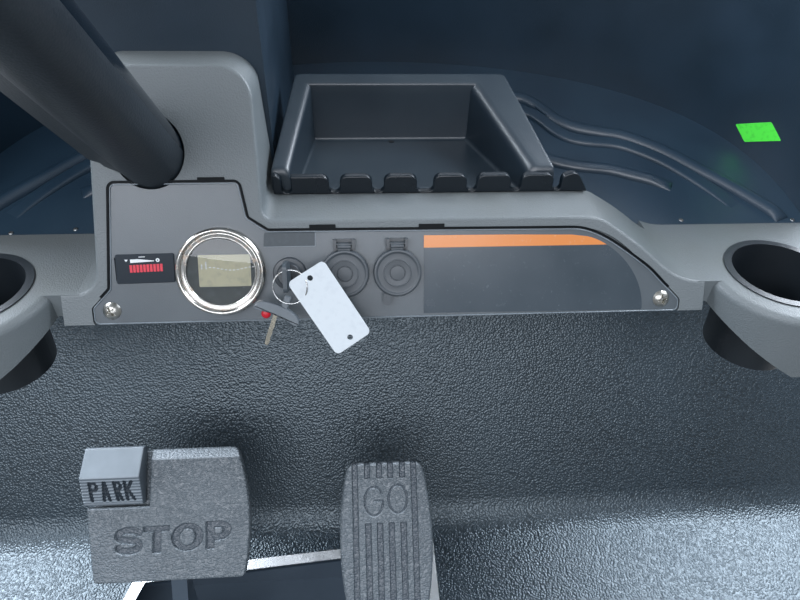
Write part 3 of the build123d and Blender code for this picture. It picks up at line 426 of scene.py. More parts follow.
# Parking pad.
# A hard rubber block shaped like a roof, in the corner of the brake pad. Its front slope has
# fine ribs with PARK sunk across them, both painted with shade, and the upper slope is smooth with a pale painted
# highlight.
across = np.linspace(-84, -26, 150)
slope = np.linspace(0, 30.87, 112)
x, e = np.meshgrid(across, slope)
word = strokes(x, e, [
    [(-74.6, 5), (-75.0, 25.4)], [(-74.9, 24.3), (-70.5, 24.3), (-68.6, 22), (-68.6, 19), (-70.4, 16.4), (-74.7, 16.4)],
    [(-63.0, 5), (-61.2, 25.5)], [(-57.4, 5), (-60.6, 25.5)], [(-61.9, 11.5), (-58.4, 11.5)],
    [(-49.6, 5), (-51.4, 25.4)], [(-48.6, 16.2), (-45.4, 5)],
    [(-51.3, 24.3), (-47.4, 24.3), (-45.6, 22.3), (-45.6, 19), (-47.6, 16.4), (-50.5, 16.4)],
    [(-40.2, 5.2), (-41.2, 25.6)], [(-34.6, 25.6), (-40.2, 14.5)], [(-39, 16.8), (-33.6, 5.4)],
], 1.45)
rib_high, word_deep = 0.55, 1.8
rib_ends = np.clip((30 - e) / 2, 0, 1) * np.clip((e - 1) / 1.5, 0, 1)
ribs = rib_high * np.clip(np.cos(2 * np.pi * e / 3.4) * 1.6, -1, 1) * rib_ends
sink = sunk(word, word_deep, 1.0)
lift = ribs - rib_high - sink
front = np.stack((12 + 0.907 * e - 0.421 * lift, 2 + 0.421 * e + 0.907 * lift), -1)
shape = rounded(((12, -7), (12, 2), (40, 15), (68, 3), (68, -7)), (1.0, 1.2, 2.4, 2.5, 1.0), 2.0)
ridge = shape[(shape[:, 0] > 39.0) | (shape[:, 1] < -0.5)]
ridge = ridge[np.argsort(np.arctan2(ridge[:, 1] + 2, ridge[:, 0] - 40) % (2 * np.pi))]
turn_at = np.nonzero(ridge[:, 1] > 5)[0].max()
ridge = np.roll(ridge, -(turn_at + 1), 0)[::-1]
loop_v = np.concatenate((front[..., 0], np.repeat(ridge[:, :1], len(across), 1)))
loop_n = np.concatenate((front[..., 1], np.repeat(ridge[:, 1:], len(across), 1)))
loop_u = np.broadcast_to(across, loop_v.shape)
ease = 1.2 * rolled(np.minimum(loop_u + 84, -26 - loop_u), 2.2) / 2.2
loop_n = loop_n - ease * (loop_n > 0)


def barrel(rows, cols):
    """Faces of a grid that wraps by rows, with a flat end on its first and last column."""
    ring = np.arange(rows) * cols
    return weave(rows, cols, wrap_rows=True) + [ring.tolist(), (ring + cols - 1).tolist()[::-1]]


def worn_rubber_painted_light(name, dark, light):
    """Hard rubber rubbed smooth, with random darker patches: a pale painted highlight where it faces up, painted shade
    where the attribute sunk is 1.
    """
    material, place = surfaced(name, light, Roughness=0.45)
    low = add(place, "Attribute", attribute_name="sunk").outputs["Fac"]
    patch = noise(place, 35, 3.0)
    tone = blend(facing_up(place, 0.55, 0.9), dark, light)
    tone = blend(spread(patch, 0.0, 0.4, 0.4, 0.8), tone, dark)
    return finish(material, blend(low, tone, "#28323b"), spread(patch, 0.36, 0.5), noise(place, 3, 4.0), 0.05)


# The marks give painted shade to the sunk letters and, more faintly, to the valleys between the ribs.
make_piece("park_pad_block", (brake_plane(loop_u, loop_v, loop_n), barrel(*loop_v.shape)), "pedal_rubber",
           worn_rubber_painted_light("worn_parking_rubber_painted_light", "#667079", "#a3aeb6"), "park_pad", body="brake",
           marks=sink / word_deep + 0.25 * (lift < -0.6))

# Accelerator pad.
# A long moulded rubber pad with bowed sides, six grooves for grip and the word GO in thin sunk
# lines. It is bonded to the plate on its arm.
go_plane = leaning_plane((-6.0, 180.5, 159.0), 48.0)
half_long, middle = 76, -1.2
up = np.linspace(-half_long, half_long, 204)[:, None]
half = 46.5 - 9 * (up / half_long) ** 2
across = middle + half * np.linspace(-1, 1, 150)
up = np.repeat(up, across.shape[1], 1)
for side, end in ((1, 1), (1, -1), (-1, 1), (-1, -1)):
    to_side, to_end = half - side * (across - middle), half_long - end * up
    new_side, new_end = corner_pull(to_side, to_end, 8.0)
    across = across + side * (to_side - new_side)
    up = up + end * (to_end - new_end)
to_end = half_long - np.abs(up)
gap = np.minimum(edge_gap(half - across + middle, to_end, 8), edge_gap(half + across - middle, to_end, 8))
word = strokes(across, up, [
    bow(-13.0, 38.4, 9.2, 14.0, 32, 352, 30) + [(-3.8, 38.5), (-11.9, 38.6)],
    bow(11.2, 39.8, 9.3, 13.7, 0, 360, 36)], 0.85)
grooves = np.minimum.reduce(
    [bar(across, up, c - 2.7, c + 2.7, -90, 90) for c in (-31.6, 27.9)]
    + [bar(across, up, c - 2.6, c + 2.6, 60.6, 90) for c in (-19.2, -7.0, 4.2, 16.3)]
    + [bar(across, up, c - 2.8, c + 2.8, -90, 16.8) for c in (-19.1, -7.5, 4.2, 16.1)])
word_deep = 1.4
sink = np.maximum(sunk(word, word_deep, 1.0), sunk(grooves, 2.2, 1.0))
out = -1.2 * (across / 46) ** 2 - 0.8 * (up / half_long) ** 2 - rolled(gap, 3.0) - sink


def full_block(put, across, up, out, floor_out):
    """A closed block whose top is a whole grid, so that its rim is the grid's border."""
    at = np.arange(across.size).reshape(across.shape)
    rim = np.concatenate((at[0], at[1:, -1], at[-1, -2::-1], at[-2:0:-1, 0]))
    return closed_block(put, across, up, out, weave(*at.shape), rim, floor_out)


make_piece("accelerator_pad_block", full_block(go_plane, across, up, out, -14.0), "pedal_rubber", grained_pad,
           "accelerator_pad", body="accelerator", marks=sink / word_deep)

# Dash moulding, panel, liner and baskets.
# Injection moulded polypropylene in charcoal with a fine leather grain, screwed to the cowl.
# Faces that look up have faded and hold dust.


def faded_plastic(name, dark, light, faded, grain_mm, depth_mm, shine, start=0.45, gloss=0.9):
    """Moulded plastic: fine leather grain, faded where a face looks up by more than start, with cloudy stains."""
    material, place = surfaced(name, dark, Roughness=0.45, Specular_IOR_Level=gloss)
    grain = add(place, "TexVoronoi", {"Vector": place, "Scale": 1000 / grain_mm})
    cloud = noise(place, 75, 6.0)
    stain = spread(cloud, 0.0, 1.0, 0.3, 0.7)
    tone = blend(facing_up(place, start, 1.0), blend(stain, dark, light), blend(stain, light, faded))
    return finish(material, tone, spread(cloud, *shine), grain.outputs["Distance"], depth_mm)


dress(faded_plastic("grained_charcoal_plastic", "#666e71", "#6e7578", "#6a6f6f", 1.3, 0.2, (0.42, 0.56), gloss=0.6),
      "dash_body")
dress(faded_plastic("smooth_panel_plastic", "#464f55", "#515a60", "#576066", 0.7, 0.05, (0.28, 0.4)),
      "instrument_panel")
liner_plastic = faded_plastic("dark_liner_plastic", "#132735", "#1a3041", "#223a4b", 1.2, 0.10, (0.34, 0.5))
dress(liner_plastic, "cowl_liner")
dress(faded_plastic("moulded_basket_plastic", "#10161b", "#151c22", "#1c242a", 0.8, 0.06, (0.3, 0.45)),
      "cup_basket_left", "cup_basket_right")
black_plastic = faded_plastic("moulded_black_plastic", "#22292f", "#2c343a", "#363e44", 0.8, 0.05, (0.34, 0.5))
dress(black_plastic, "socket_body_1", "socket_body_2", "column_flange")

# Panel rim and its screws.
# The panel's edge is turned up to a narrow lip, coloured pale as a painted highlight. Two
# cross-head pan screws, 15 mm wide, hold it to the dash.
face = leaning_plane((0.0, 250.0, 395.0), 28.0)


def bend_run(a, b, leave, arrive):
    """Points of the cubic from a to b whose slope at its ends is leave and arrive: a (2t^3 - 3t^2 + 1)
    + leave (t^3 - 2t^2 + t) + b (3t^2 - 2t^3) + arrive (t^3 - t^2)."""
    t = np.linspace(0, 1, 15)[:, None]
    return ((2 * t**3 - 3 * t**2 + 1) * a + (t**3 - 2 * t**2 + t) * leave + (3 * t**2 - 2 * t**3) * b
            + (t**3 - t**2) * arrive)


low_end, bend, top_end, low_way, bend_way, top_way = np.array((
    (236.0, 18.0), (208.0, 43.0), (150.0, 72.0), (-38.0, 32.0), (-42.0, 29.0), (-62.0, 2.0)))
panel_corners = ((-242, 0), (244, 0), (244, 10), (236, 18), (150, 72), (-100, 73.5), (-116, 84), (-121, 112),
                 (-219, 112), (-227, 29), (-242, 14))
outline = rounded(panel_corners, [4.5] * 3 + [1.0] * 2 + [4.5] * 6, 6.0)
between = (outline[:, 0] > 150) & (outline[:, 1] > 17)
first = np.argmax(between)
outline = np.concatenate((outline[:first], bend_run(low_end, bend, low_way, bend_way),
                          bend_run(bend, top_end, bend_way, top_way)[1:-1], outline[first:][~between[first:]]))
lip = [(-0.2, 0.05), (-0.2, 0.45), (-0.45, 0.75), (-0.8, 0.75), (-1.1, 0.5), (-1.3, 0.05)]
# The lip's pale colour, paler still where it looks up, is a painted highlight along the panel's edge.
lip_plastic = faded_plastic("lip_pale_highlight_plastic", "#5c666e", "#6e7880", "#808a91", 0.7, 0.04, (0.28, 0.42), 0.2)
make_piece("panel_lip", moulding(face, outline, lip), "panel_plastic", lip_plastic)
# A black strip in the gap above the panel and small dark plates in its clip notches are painted shadow.
gap_shade_path = outline[outline[:, 1] > 20]
gap_shade_strip = moulding(face, gap_shade_path, ((0.3, 0.05), (2.2, 0.05), (2.2, 0.5), (0.3, 0.5)), False)


def inlay(corners, radius, low, high, ease=0.4, step=3.0):
    """A plate with rounded corners that stands from low to high on the panel's plane."""
    return plate(face, rounded(corners, radius, step), low, high, ease)


notch_shadows = [inlay(box(x, s, x + 21, s + 3.2), 0.5, 0.05, 0.55, 0.1) for x, s in ((-67, 75.0), (21, 74.3), (-152, 113.0))]


def soft_rubber(name, dark, light, **shader):
    """Soft cap rubber: matt, with dust in it and a very fine grain."""
    material, place = surfaced(name, dark, **{"Roughness": 0.5, "Specular_IOR_Level": 0.8, **shader})
    dust = noise(place, 14, 6.0)
    return finish(material, blend(dust, dark, light), spread(dust, 0.34, 0.52), noise(place, 1.0, 2.0), 0.05)


def circle(steps):
    """Angles once round in equal steps, as a column."""
    return np.linspace(0, 2 * np.pi, steps, endpoint=False)[:, None]


def turned(put, centre, profile, steps=96, hollow=False):
    """A turned block: profile (radius, out) mm goes round centre. Flat ends close it, or its profile does if hollow."""
    profile = np.asarray(profile, float)
    angle = circle(steps)
    r, size = profile[:, 0], (steps, len(profile))
    points = put(centre[0] + r * np.cos(angle), centre[1] + r * np.sin(angle), profile[:, 1])
    return points, weave(*size, True, True) if hollow else barrel(*size)


def plated(name, base, rough, spots="#8a8478"):
    """Bright plated metal: fine wear spots of about 3 mm dull it and let a warmer tone through."""
    material, place = surfaced(name, base, Metallic=1.0, Roughness=rough)
    spot = noise(place, 6, 5.0, Roughness=0.7)
    worn = spread(spot, 0.0, 1.0, 0.52, 0.72)
    return finish(material, blend(worn, base, spots), spread(worn, rough, rough + 0.3), spot, 0.01)


def screw(put, centre, r, turn):
    """A pan head of radius r on a polar grid: 0.25 mm and 0.44 r (1 - (rad / r)^2.6) high, less a cross of two
    sunk bars turned by turn radians."""
    steps, rings, long, thin = 120, 35, 0.5 * r, 0.115 * r
    angle = circle(steps)
    rad = np.concatenate((np.linspace(0.15, 1, rings - 1), (1.0,))) * r
    x, y = rad * np.cos(angle), rad * np.sin(angle)
    dome = 0.44 * r * (1 - (rad / r) ** 2.6) + 0.25 + 0 * angle
    dome[:, -1] = -0.2
    p, q = x * math.cos(turn) + y * math.sin(turn), y * math.cos(turn) - x * math.sin(turn)
    cross = np.minimum(bar(p, q, -long, long, -thin, thin), bar(p, q, -thin, thin, -long, long))
    return put(centre[0] + x, centre[1] + y, dome - sunk(cross, 0.34 * r, 0.08 * r)), barrel(steps, rings)


# The painted shadow of the gap and notches, black with almost no shine.
make_piece("panel_gap_shadow", join(gap_shade_strip, *notch_shadows), "panel_plastic",
           soft_rubber("black_gap_shadow_rubber", "#070b0e", "#0e1418", Specular_IOR_Level=0.1))
make_piece("panel_screws", join(screw(face, (-227.4, 11.3), 7.2, 0.5), screw(face, (228.6, 10.8), 7.2, 0.2)),
           "switch_metal", plated("zinc_plated_steel", "#b9b8b2", 0.28))

# Battery meter.
# A smoked acrylic window set flush on its case. A row of ten red cells shows the charge, with
# a white wedge over it from empty to full.
window = inlay(((-220.6, 33.4), (-175.2, 34.0), (-174.6, 57.4), (-220.0, 57.0)), 1.4, -0.5, 2.0, 0.5)
smoked = surfaced("smoked_acrylic", "#2b3239", Roughness=0.2, Specular_IOR_Level=0.3, IOR=1.49)[0]
make_piece("meter_window", join(window, inlay(box(-217, 34.5, -182, 55.5), 1, -16.0, -0.6)), "meter_black", smoked,
           "battery_meter")


def glowing(name, base, glow, cell_mm):
    """A lit print: base with a little light of its own, broken up by a grain of cell_mm."""
    material, place = surfaced(name, base, Roughness=0.35, Emission_Strength=glow, Emission_Color=linear(base))
    grain = noise(place, cell_mm, 3.0)
    return finish(material, blend(spread(grain, 0.0, 0.4, 0.35, 0.75), base, "#5a1a22"), spread(grain, 0.3, 0.45))


cells = [inlay(box(x, 42.5 + 0.03 * (x + 209), x + 2.0, 48.5 + 0.03 * (x + 209)), 0.3, 1.9, 2.15, 0.1)
         for x in np.linspace(-209.4, -185.8, 10)]
make_piece("meter_cells", join(*cells), "meter_black", glowing("red_led_cells", "#c92f42", 0.3, 1.2))
wedge = [inlay(shape, 0.15, 1.9, 2.12, 0.08) for shape in (
    ((-208.5, 50.2), (-190.0, 51.3), (-190.0, 51.9), (-203.0, 53.2), (-208.5, 53.0)),
    ((-213.0, 52.9), (-211.6, 51.0), (-210.2, 52.9)), ((-201.8, 54.6), (-196.8, 54.7), (-196.8, 55.2), (-201.8, 55.1)))]
dot = turned(face, (-187.2, 52.2), ((1.5, 1.9), (1.5, 2.12), (0.6, 2.12), (0.6, 1.9)), 32, True)


def printed(name, base, dust):
    """Screen printed ink: nearly even, with faint wear of a few millimetres."""
    material, place = surfaced(name, base, Roughness=0.4)
    rub = noise(place, 5, 4.0)
    return finish(material, blend(spread(rub, 0.0, 1.0, 0.5, 0.8), base, dust), spread(rub, 0.32, 0.5))


white_ink = printed("white_screen_print", "#e9edf0", "#a4acb2")
make_piece("meter_wedge", join(*wedge, dot), "meter_black", white_ink)

# Round gauge.
# A 71 mm dial gauge pushed through the panel: a stepped chromed bezel, a domed glass, and a
# dark dial with a grey-green liquid crystal window that shows a faint trace.
gauge_at = (-138.2, 42.0)
t = np.radians(np.linspace(0, 180, 15))
crown = np.stack((33.2 + 2.3 * np.cos(t), 4.6 + 3.2 * np.sin(t)), -1)
slope = np.array(((30.6, 4.7), (29.6, 4.4), (28.6, 4.3)))
bead = np.stack((27.7 + 0.9 * np.cos(t[::2]), 4.2 + 1.1 * np.sin(t[::2])), -1)
bezel = np.concatenate(([(35.5, 0.0)], crown, slope, bead, [(26.8, 2.6), (29.0, 2.6), (32.5, 2.0), (32.5, 0.0)]))
make_piece("gauge_bezel_ring", turned(face, gauge_at, bezel, 160, True), "chrome",
           plated("chrome_plate", "#cfcdc8", 0.13, "#a8937f"), "gauge_bezel")
make_piece("gauge_dial", turned(face, gauge_at, ((32.4, -38), (32.4, 1.9), (29.4, 2.05), (29.4, 2.3), (1.0, 2.3)), 128),
           "meter_black", printed("dial_lacquer", "#2b3637", "#434e4e"), "gauge_case")
crystal = inlay(((-156.0, 29.9), (-115.0, 29.9), (-114.6, 55.6), (-155.6, 55.6)), 1.0, 2.2, 2.6, 0.2)
make_piece("gauge_window", crystal, "meter_black", printed("liquid_crystal", "#c8c4a4", "#b2b096"))
phase = np.arange(12) * 0.55
trace = [inlay(((x, y), (x + 2.0, y + s), (x + 2.0, y + s + 0.8), (x, y + 0.8)), 0.2, 2.55, 2.7, 0.06, 1.0)
         for x, y, s in zip(np.arange(-147.5, -112, 3.1), 44.0 + 1.2 * np.cos(phase), -0.3 * np.sin(phase))]
ticks = [inlay(box(x, 44.2, x + 1.1, 44.2 + h), 0.2, 2.55, 2.7, 0.06, 1.0) for x, h in ((-153.6, 4.0), (-150.2, 6.0))]
make_piece("gauge_trace", join(*trace, *ticks), "meter_black", white_ink)
lens_r = 29.3
arc = np.linspace(0, lens_r, 16)[:0:-1]
dome = np.stack((arc, 4.0 + 1.5 * (1 - (arc / lens_r) ** 2)), -1)
glass, place = surfaced("clear_acrylic_lens", "#ffffff", Roughness=0.03, Transmission_Weight=1.0, IOR=1.49,
                        Specular_IOR_Level=0.3)
finish(glass, None, spread(noise(place, 18, 4.0), 0.0, 0.09, 0.4, 0.8))
make_piece("gauge_glass", turned(face, gauge_at, np.concatenate(([(lens_r, 3.4)], dome)), 128), "clear", glass,
           "gauge_lens")

# Power sockets.
# Two 12 V outlets, each under a hinged cap of soft black rubber with a raised rim and turned
# rings, a strap round a steel pin above and a finger tab below.
cap_rubber = soft_rubber("soft_cap_rubber", "#363d43", "#464e54")
cap_profile = ((19.3, 4.4), (19.5, 4.8), (19.5, 7.6), (18.9, 8.9), (17.9, 9.4), (16.9, 9.2), (16.3, 8.6),
               (15.6, 8.5), (11.4, 8.7), (11.1, 9.1), (10.6, 9.1), (10.3, 8.6), (6.6, 8.4), (6.3, 7.9), (5.9, 7.9),
               (5.6, 8.4), (0.6, 8.6))
socket_up = 39.0
roll_angle = circle(20)
roll_x = np.linspace(-5.2, 5.2, 12)
for number, sx, body in ((1, -39.5, "cockpit"), (2, 3.0, "socket_cap")):
    strap = inlay(box(sx - 5.2, socket_up + 17.0, sx + 5.2, socket_up + 21.5), 0.8, 4.4, 8.0, 0.6)
    roll = (face(sx + roll_x, socket_up + 21.6 + 2.1 * np.cos(roll_angle), 6.6 + 2.1 * np.sin(roll_angle)),
            barrel(len(roll_angle), len(roll_x)))
    tab = inlay([(sx + x, socket_up + s) for x, s in ((-11.5, -17), (-5.5, -18.5), (-6.3, -27), (-11.0, -26))],
                1.6, 4.4, 6.6, 0.5)
    make_piece(f"socket_cap_rubber_{number}", join(turned(face, (sx, socket_up), cap_profile), strap, roll, tab),
               "cap_rubber", cap_rubber, f"socket_cap_{number}", body=body)

# Key switch, key and ring.
# A keyed switch behind a black flange. The grey-headed key stands in it with a split ring, a
# spare key in smoky plastic and a white card tag on the ring.
switch_at = (-84.0, 39.0)
switch_profile = ((13.4, 0.0), (13.4, 2.6), (12.9, 3.6), (12.0, 4.0), (10.2, 4.0), (9.6, 4.4), (9.2, 7.4), (8.7, 8.0),
                  (4.6, 8.0), (4.5, 6.4), (0.5, 6.4))
barrel_profile = (11.0, -34), (11.0, -0.1), (0.5, -0.1)
switch = join(turned(face, switch_at, switch_profile), turned(face, switch_at, barrel_profile, 48))
make_piece("key_switch_ring", switch, "switch_metal", soft_rubber("switch_plastic", "#2a3036", "#383f45"),
           "key_switch")
dress(soft_rubber("grey_key_plastic", "#333b41", "#4a535a"), "key")
ring_r, wire_r = 13.1, 0.6
ring_angle = np.linspace(0, 4 * np.pi, 321)
dip = 0.5 - 0.5 * np.cos(np.clip((np.degrees(ring_angle) % 360 + 52) % 360, 0, 104) / 104 * 2 * np.pi)
ring_n = 29.9 + 1.15 * ring_angle / (4 * np.pi) + 3.0 * dip
path = np.stack((-80.7 + ring_r * np.cos(ring_angle), 33.5 + ring_r * np.sin(ring_angle), ring_n), -1)
spoke = np.stack((np.cos(ring_angle), np.sin(ring_angle), 0 * ring_angle), -1)[:, None, :]
tube = circle(12)
wire = path[:, None, :] + wire_r * (spoke * np.cos(tube) + np.array((0, 0, 1.0)) * np.sin(tube))
make_piece("split_ring", (face(*np.moveaxis(wire, 2, 0)), rod(len(path), len(tube))), "key_metal",
           plated("nickel_plate", "#d5d7d8", 0.18), "key_ring")
dress(printed("gloss_white_card", "#dbe3e8", "#d2dae0"), "key_tag")
t = np.linspace(0, 1, 41)
lean = math.radians(-26)
along = 37.5 * (t - 0.5)
sag = -0.011 * along ** 2
half = 4.1 * (1 - np.abs(2 * t - 1) ** 7) ** 0.5 + 0.05
bar_edge = np.concatenate((np.stack((along, sag - half), -1), np.stack((along, sag + half), -1)[::-1]))
head_edge = np.stack((-90.6 + bar_edge[:, 0] * math.cos(lean) - bar_edge[:, 1] * math.sin(lean),
                      15.0 + bar_edge[:, 0] * math.sin(lean) + bar_edge[:, 1] * math.cos(lean)), -1)
stem = inlay(((-90.0, 14), (-84.5, 13.6), (-80.4, 25.0), (-85.4, 26.6)), 1.2, 26.4, 29.4, 0.8)
make_piece("spare_key_head", join(plate(face, head_edge, 25.4, 31.0, 1.1), stem), "key_grip",
           soft_rubber("smoky_key_plastic", "#525b62", "#707980", Coat_Weight=0.5), "spare_key")
blade = inlay(((-94.6, 12.0), (-91.4, 12.4), (-94.2, 4.6), (-94.6, 2.4), (-96.2, -0.6), (-96.8, -3.6), (-98.4, -6.4),
               (-99.4, -10.6), (-101.0, -12.6), (-102.6, -11.4), (-101.2, -6.0)), 0.5, 27.3, 28.5, 0.2, 1.0)
make_piece("spare_key_blade", blade, "key_metal", plated("nickel_silver", "#a9a496", 0.26))
lamp_profile = ((3.8, -0.5), (3.8, 0.8), (3.3, 1.7), (2.4, 2.3), (1.2, 2.6), (0.3, 2.65))
make_piece("indicator_dome", turned(face, (-105.0, 6.0), lamp_profile, 40), "lamp_red",
           glowing("red_lamp_acrylic", "#c4182a", 0.12, 2.0), "indicator_lamp")

# Blank plates.
# A dark gloss plate with an orange band along its top is stuck on the panel beside the
# sockets, and a bare label strip over the switch, whose thin pale edge is a painted highlight.
film, place = surfaced("laminated_film", "#36414a", Roughness=0.24, Specular_IOR_Level=0.7)
up_panel, panel_foot = (0.0, 0.4695, 0.8829), 0.46612
level = add(place, "VectorMath", {0: place, 1: up_panel}, operation="DOT_PRODUCT").outputs["Value"]
band = spread(level, 0.0, 1.0, panel_foot + 0.0578, panel_foot + 0.0584)
haze, scuffs = noise(place, 40, 6.0), noise(place, 4, 6.0, Roughness=0.7)
worn = spread(scuffs, 0.0, 0.8, 0.6, 0.75)
grey = blend(worn, blend(haze, "#323e46", "#434e57"), "#5a656d")
finish(film, blend(band, grey, blend(worn, "#e38c48", "#dea87a")), spread(haze, 0.16, 0.34), scuffs, 0.02)
turn = np.linspace(0, 1, 20) * np.pi / 2
right_edge = np.stack((158.0 + 54.0 * np.sin(turn) ** 1.15, 65.6 - 62.6 * (1 - np.cos(turn)) ** 0.9), -1)
sign = np.concatenate((((25.2, 68.2), (90, 67.8), (148, 66.8)), right_edge, ((211.0, 1.9), (120, 2.6), (25.0, 3.4))))
make_piece("blank_sign", plate(face, sign[::-1], -0.2, 0.35, 0.12), "panel_plastic", film)
make_piece("blank_label", inlay(((-104, 61), (-63, 61), (-62.5, 72.0), (-103, 72.2)), 1.0, -0.2, 0.3, 0.15),
           "panel_plastic", printed("blank_label_film", "#3b444a", "#454e54"))
# The thin pale edges along the label's foot and right side take the lip's colour: a painted highlight.
label_edges = [inlay(corners, 0.2, 0.0, 0.4, 0.1) for corners in (
    box(-103.5, 60.6, -62.6, 61.2), ((-63.1, 60.8), (-62.4, 60.8), (-62.0, 72.0), (-62.7, 72.0)))]
make_piece("blank_label_edge", join(*label_edges), "panel_plastic", lip_plastic)

# Tray.
# A deep moulded pocket behind the dash with a broad rim that rises to the back, moulded in satin
# black plastic. Its edges are rounded over, 6 mm at the sides and 2 mm at the back.


def rim_steps(outer, inner, way, roll, foot):
    """Places across a rim and its wall: the flat, a quarter round of radius roll, the wall, a quarter round of radius
    foot. With them their lift above the floor and their share of the rim's rise."""
    quarter = np.radians(np.linspace(0, 90, 8))
    share = np.array((0.0, 0.03, 0.07, 0.12, 0.2, 0.42, 0.7))
    edge = inner - way * roll
    fall = np.linspace(0, 1, 7)[1:-1]
    places = [outer + (edge - outer) * share, edge + way * roll * np.sin(quarter), inner + way * 0.3 * fall,
              inner + way * (0.3 + foot * (1 - np.cos(quarter)))]
    lift = [0 * share, -roll * (1 - np.cos(quarter)), foot * fall - roll * (1 - fall), foot * (1 - np.sin(quarter))]
    full = [0 * share + 1, 0 * quarter + 1, 1 - fall, 0 * quarter]
    return np.concatenate(places, -1), np.concatenate(lift), np.concatenate(full)


front, back, length = 335, 466, 131
back_y, back_lift, back_full = rim_steps(float(back), 450.0, -1, 2.2, 3.0)
front_y = np.array((335.0, 335.3, 335.9, 337.4, 338.0, 339.0))
floor_y = np.linspace(341, 445, 27)
deep = np.concatenate((front_y, floor_y, back_y[::-1]))[:, None]
row_lift = np.concatenate(((6.5, 7.6, 8.0, 8.0, 3.0, 0.0), 0 * floor_y, back_lift[::-1]))[:, None]
row_full = np.concatenate((0 * front_y, 0 * floor_y, back_full[::-1]))[:, None]
left_x, left_lift, left_full = rim_steps(-100 + 14 * (deep - front) / length, -84 + 14 * (deep - 339) / 111,
                                         1, 6.0, 3.0)
right_x, right_lift, right_full = rim_steps(142 - 23 * (deep - front) / length, 118 - 34 * (deep - 339) / 111,
                                            -1, 9.0, 4.0)
share = np.linspace(0, 1, 30)[1:-1]
across = np.concatenate((left_x, left_x[:, -1:] + (right_x[:, -1:] - left_x[:, -1:]) * share, right_x[:, ::-1]), 1)
col_lift = np.concatenate((left_lift, 0 * share, right_lift[::-1]))
col_full = np.concatenate((left_full, 0 * share, right_full[::-1]))
left_gap, right_gap = across - left_x[:, :1], right_x[:, :1] - across
deep = np.repeat(deep, across.shape[1], 1)
rim_rise = 27 + (deep - front) * 0.2623
height = 460 + np.maximum(row_lift + row_full * rim_rise, col_lift + col_full * rim_rise)
for side_gap, way in ((left_gap, 1), (right_gap, -1)):
    new_side, new_back = corner_pull(side_gap, back - deep, 7.0)
    across = across + way * (new_side - side_gap)
    deep = deep - (new_back - (back - deep))
left_gap = across + 100 - 14 * (deep - front) / length
right_gap = 142 - 23 * (deep - front) / length - across
outer_gap = np.minimum(edge_gap(left_gap, back - deep, 7), edge_gap(right_gap, back - deep, 7))
height = height - rolled(outer_gap, 2.0) - (col_full > 0.9) * rolled(deep - front, 5.0)
level = leaning_plane((0.0, 0.0, 0.0), 90.0)
# A black disc in the drain hole is painted shade for the hole.
drain = turned(level, (7.0, 444.5), ((2.9, 459.0), (2.9, 460.3), (2.2, 460.5), (0.4, 460.5)), 24)
make_piece("tray_pocket", full_block(level, across, deep, height, 456.2), "tray_plastic",
           faded_plastic("satin_tray_plastic", "#1c2832", "#25323c", "#313d45", 0.8, 0.06, (0.3, 0.46)), "centre_tray",
           crease=50)
make_piece("tray_drain_hole_shade", drain, "tray_plastic", soft_rubber("black_drain_shade", "#0d1216", "#12181d"))

# Row of tee holders.
# Teeth with round top corners stand along the front of the tray, moulded in one with it. A golf
# tee hangs by its head in each U notch between them, and the last tooth runs out to a point.
upright = leaning_plane((0.0, 335.0, 0.0), 0.0)
notches = ((-91.6, -83.6), (-51.7, -42.6), (-15.4, -5.4), (22.8, 37.2), (65.6, 74.4), (103.8, 112.8), (141.0, 148.2))
tooth_top = 483.5
comb_edge, comb_round = [(-98.6, 467.0), (172.6, 467.0), (160.0, 486.6), (148.2, 481.5)], [0.8, 0.8, 8.0, 5.0]
for (notch_low, notch_high), following in zip(notches[::-1], notches[-2::-1]):
    comb_edge += [(notch_high, 468.5), (notch_low, 468.5), (notch_low, tooth_top), (following[1], tooth_top)]
    comb_round += [min((notch_high - notch_low) / 2 - 0.2, 4.2)] * 2 + [6.5, 6.5]
comb_round[-1] = 1.5
notch_low, notch_high = notches[0]
comb_edge += [(notch_high, 468.5), (notch_low, 468.5), (notch_low, 481.0), (-98.6, 488.0)]
comb_round += [min((notch_high - notch_low) / 2 - 0.2, 4.2)] * 2 + [4.5, 2.0]
make_piece("tee_holder_row", plate(upright, rounded(comb_edge, comb_round, 2.0), 0.0, 6.0, 0.9), "comb_black",
           faded_plastic("satin_comb_plastic", "#0c151c", "#121c24", "#1d272e", 0.8, 0.05, (0.22, 0.34), gloss=0.5),
           "tee_comb", crease=50)

# Liner ridges, rivets and green label.
# Three rounded ridges pressed into the liner's ledge stiffen it, mirrored about the middle. Dull
# steel rivets hold its front edge to the wings, and a bare green label sticks on its right wall.
ledge = leaning_plane((0.0, 350.0, 414.0), 78.7)


def smooth_run(points, step):
    """Points every step mm along a Catmull-Rom curve through points: each span mixes its four neighbours."""
    p = np.asarray(points, float)
    p = np.concatenate((2 * p[:1] - p[1:2], p, 2 * p[-1:] - p[-2:-1]))
    parts = []
    for a, b, c, d in zip(p[:-3], p[1:-2], p[2:-1], p[3:]):
        t = np.linspace(0, 1, max(2, int(np.linalg.norm(c - b) / step)), endpoint=False)[:, None]
        parts.append(0.5 * (2 * b + (c - a) * t + (2 * a - 5 * b + 4 * c - d) * t**2 + (3 * b - a - 3 * c + d) * t**3))
    return np.concatenate(parts + [p[-2:-1]])


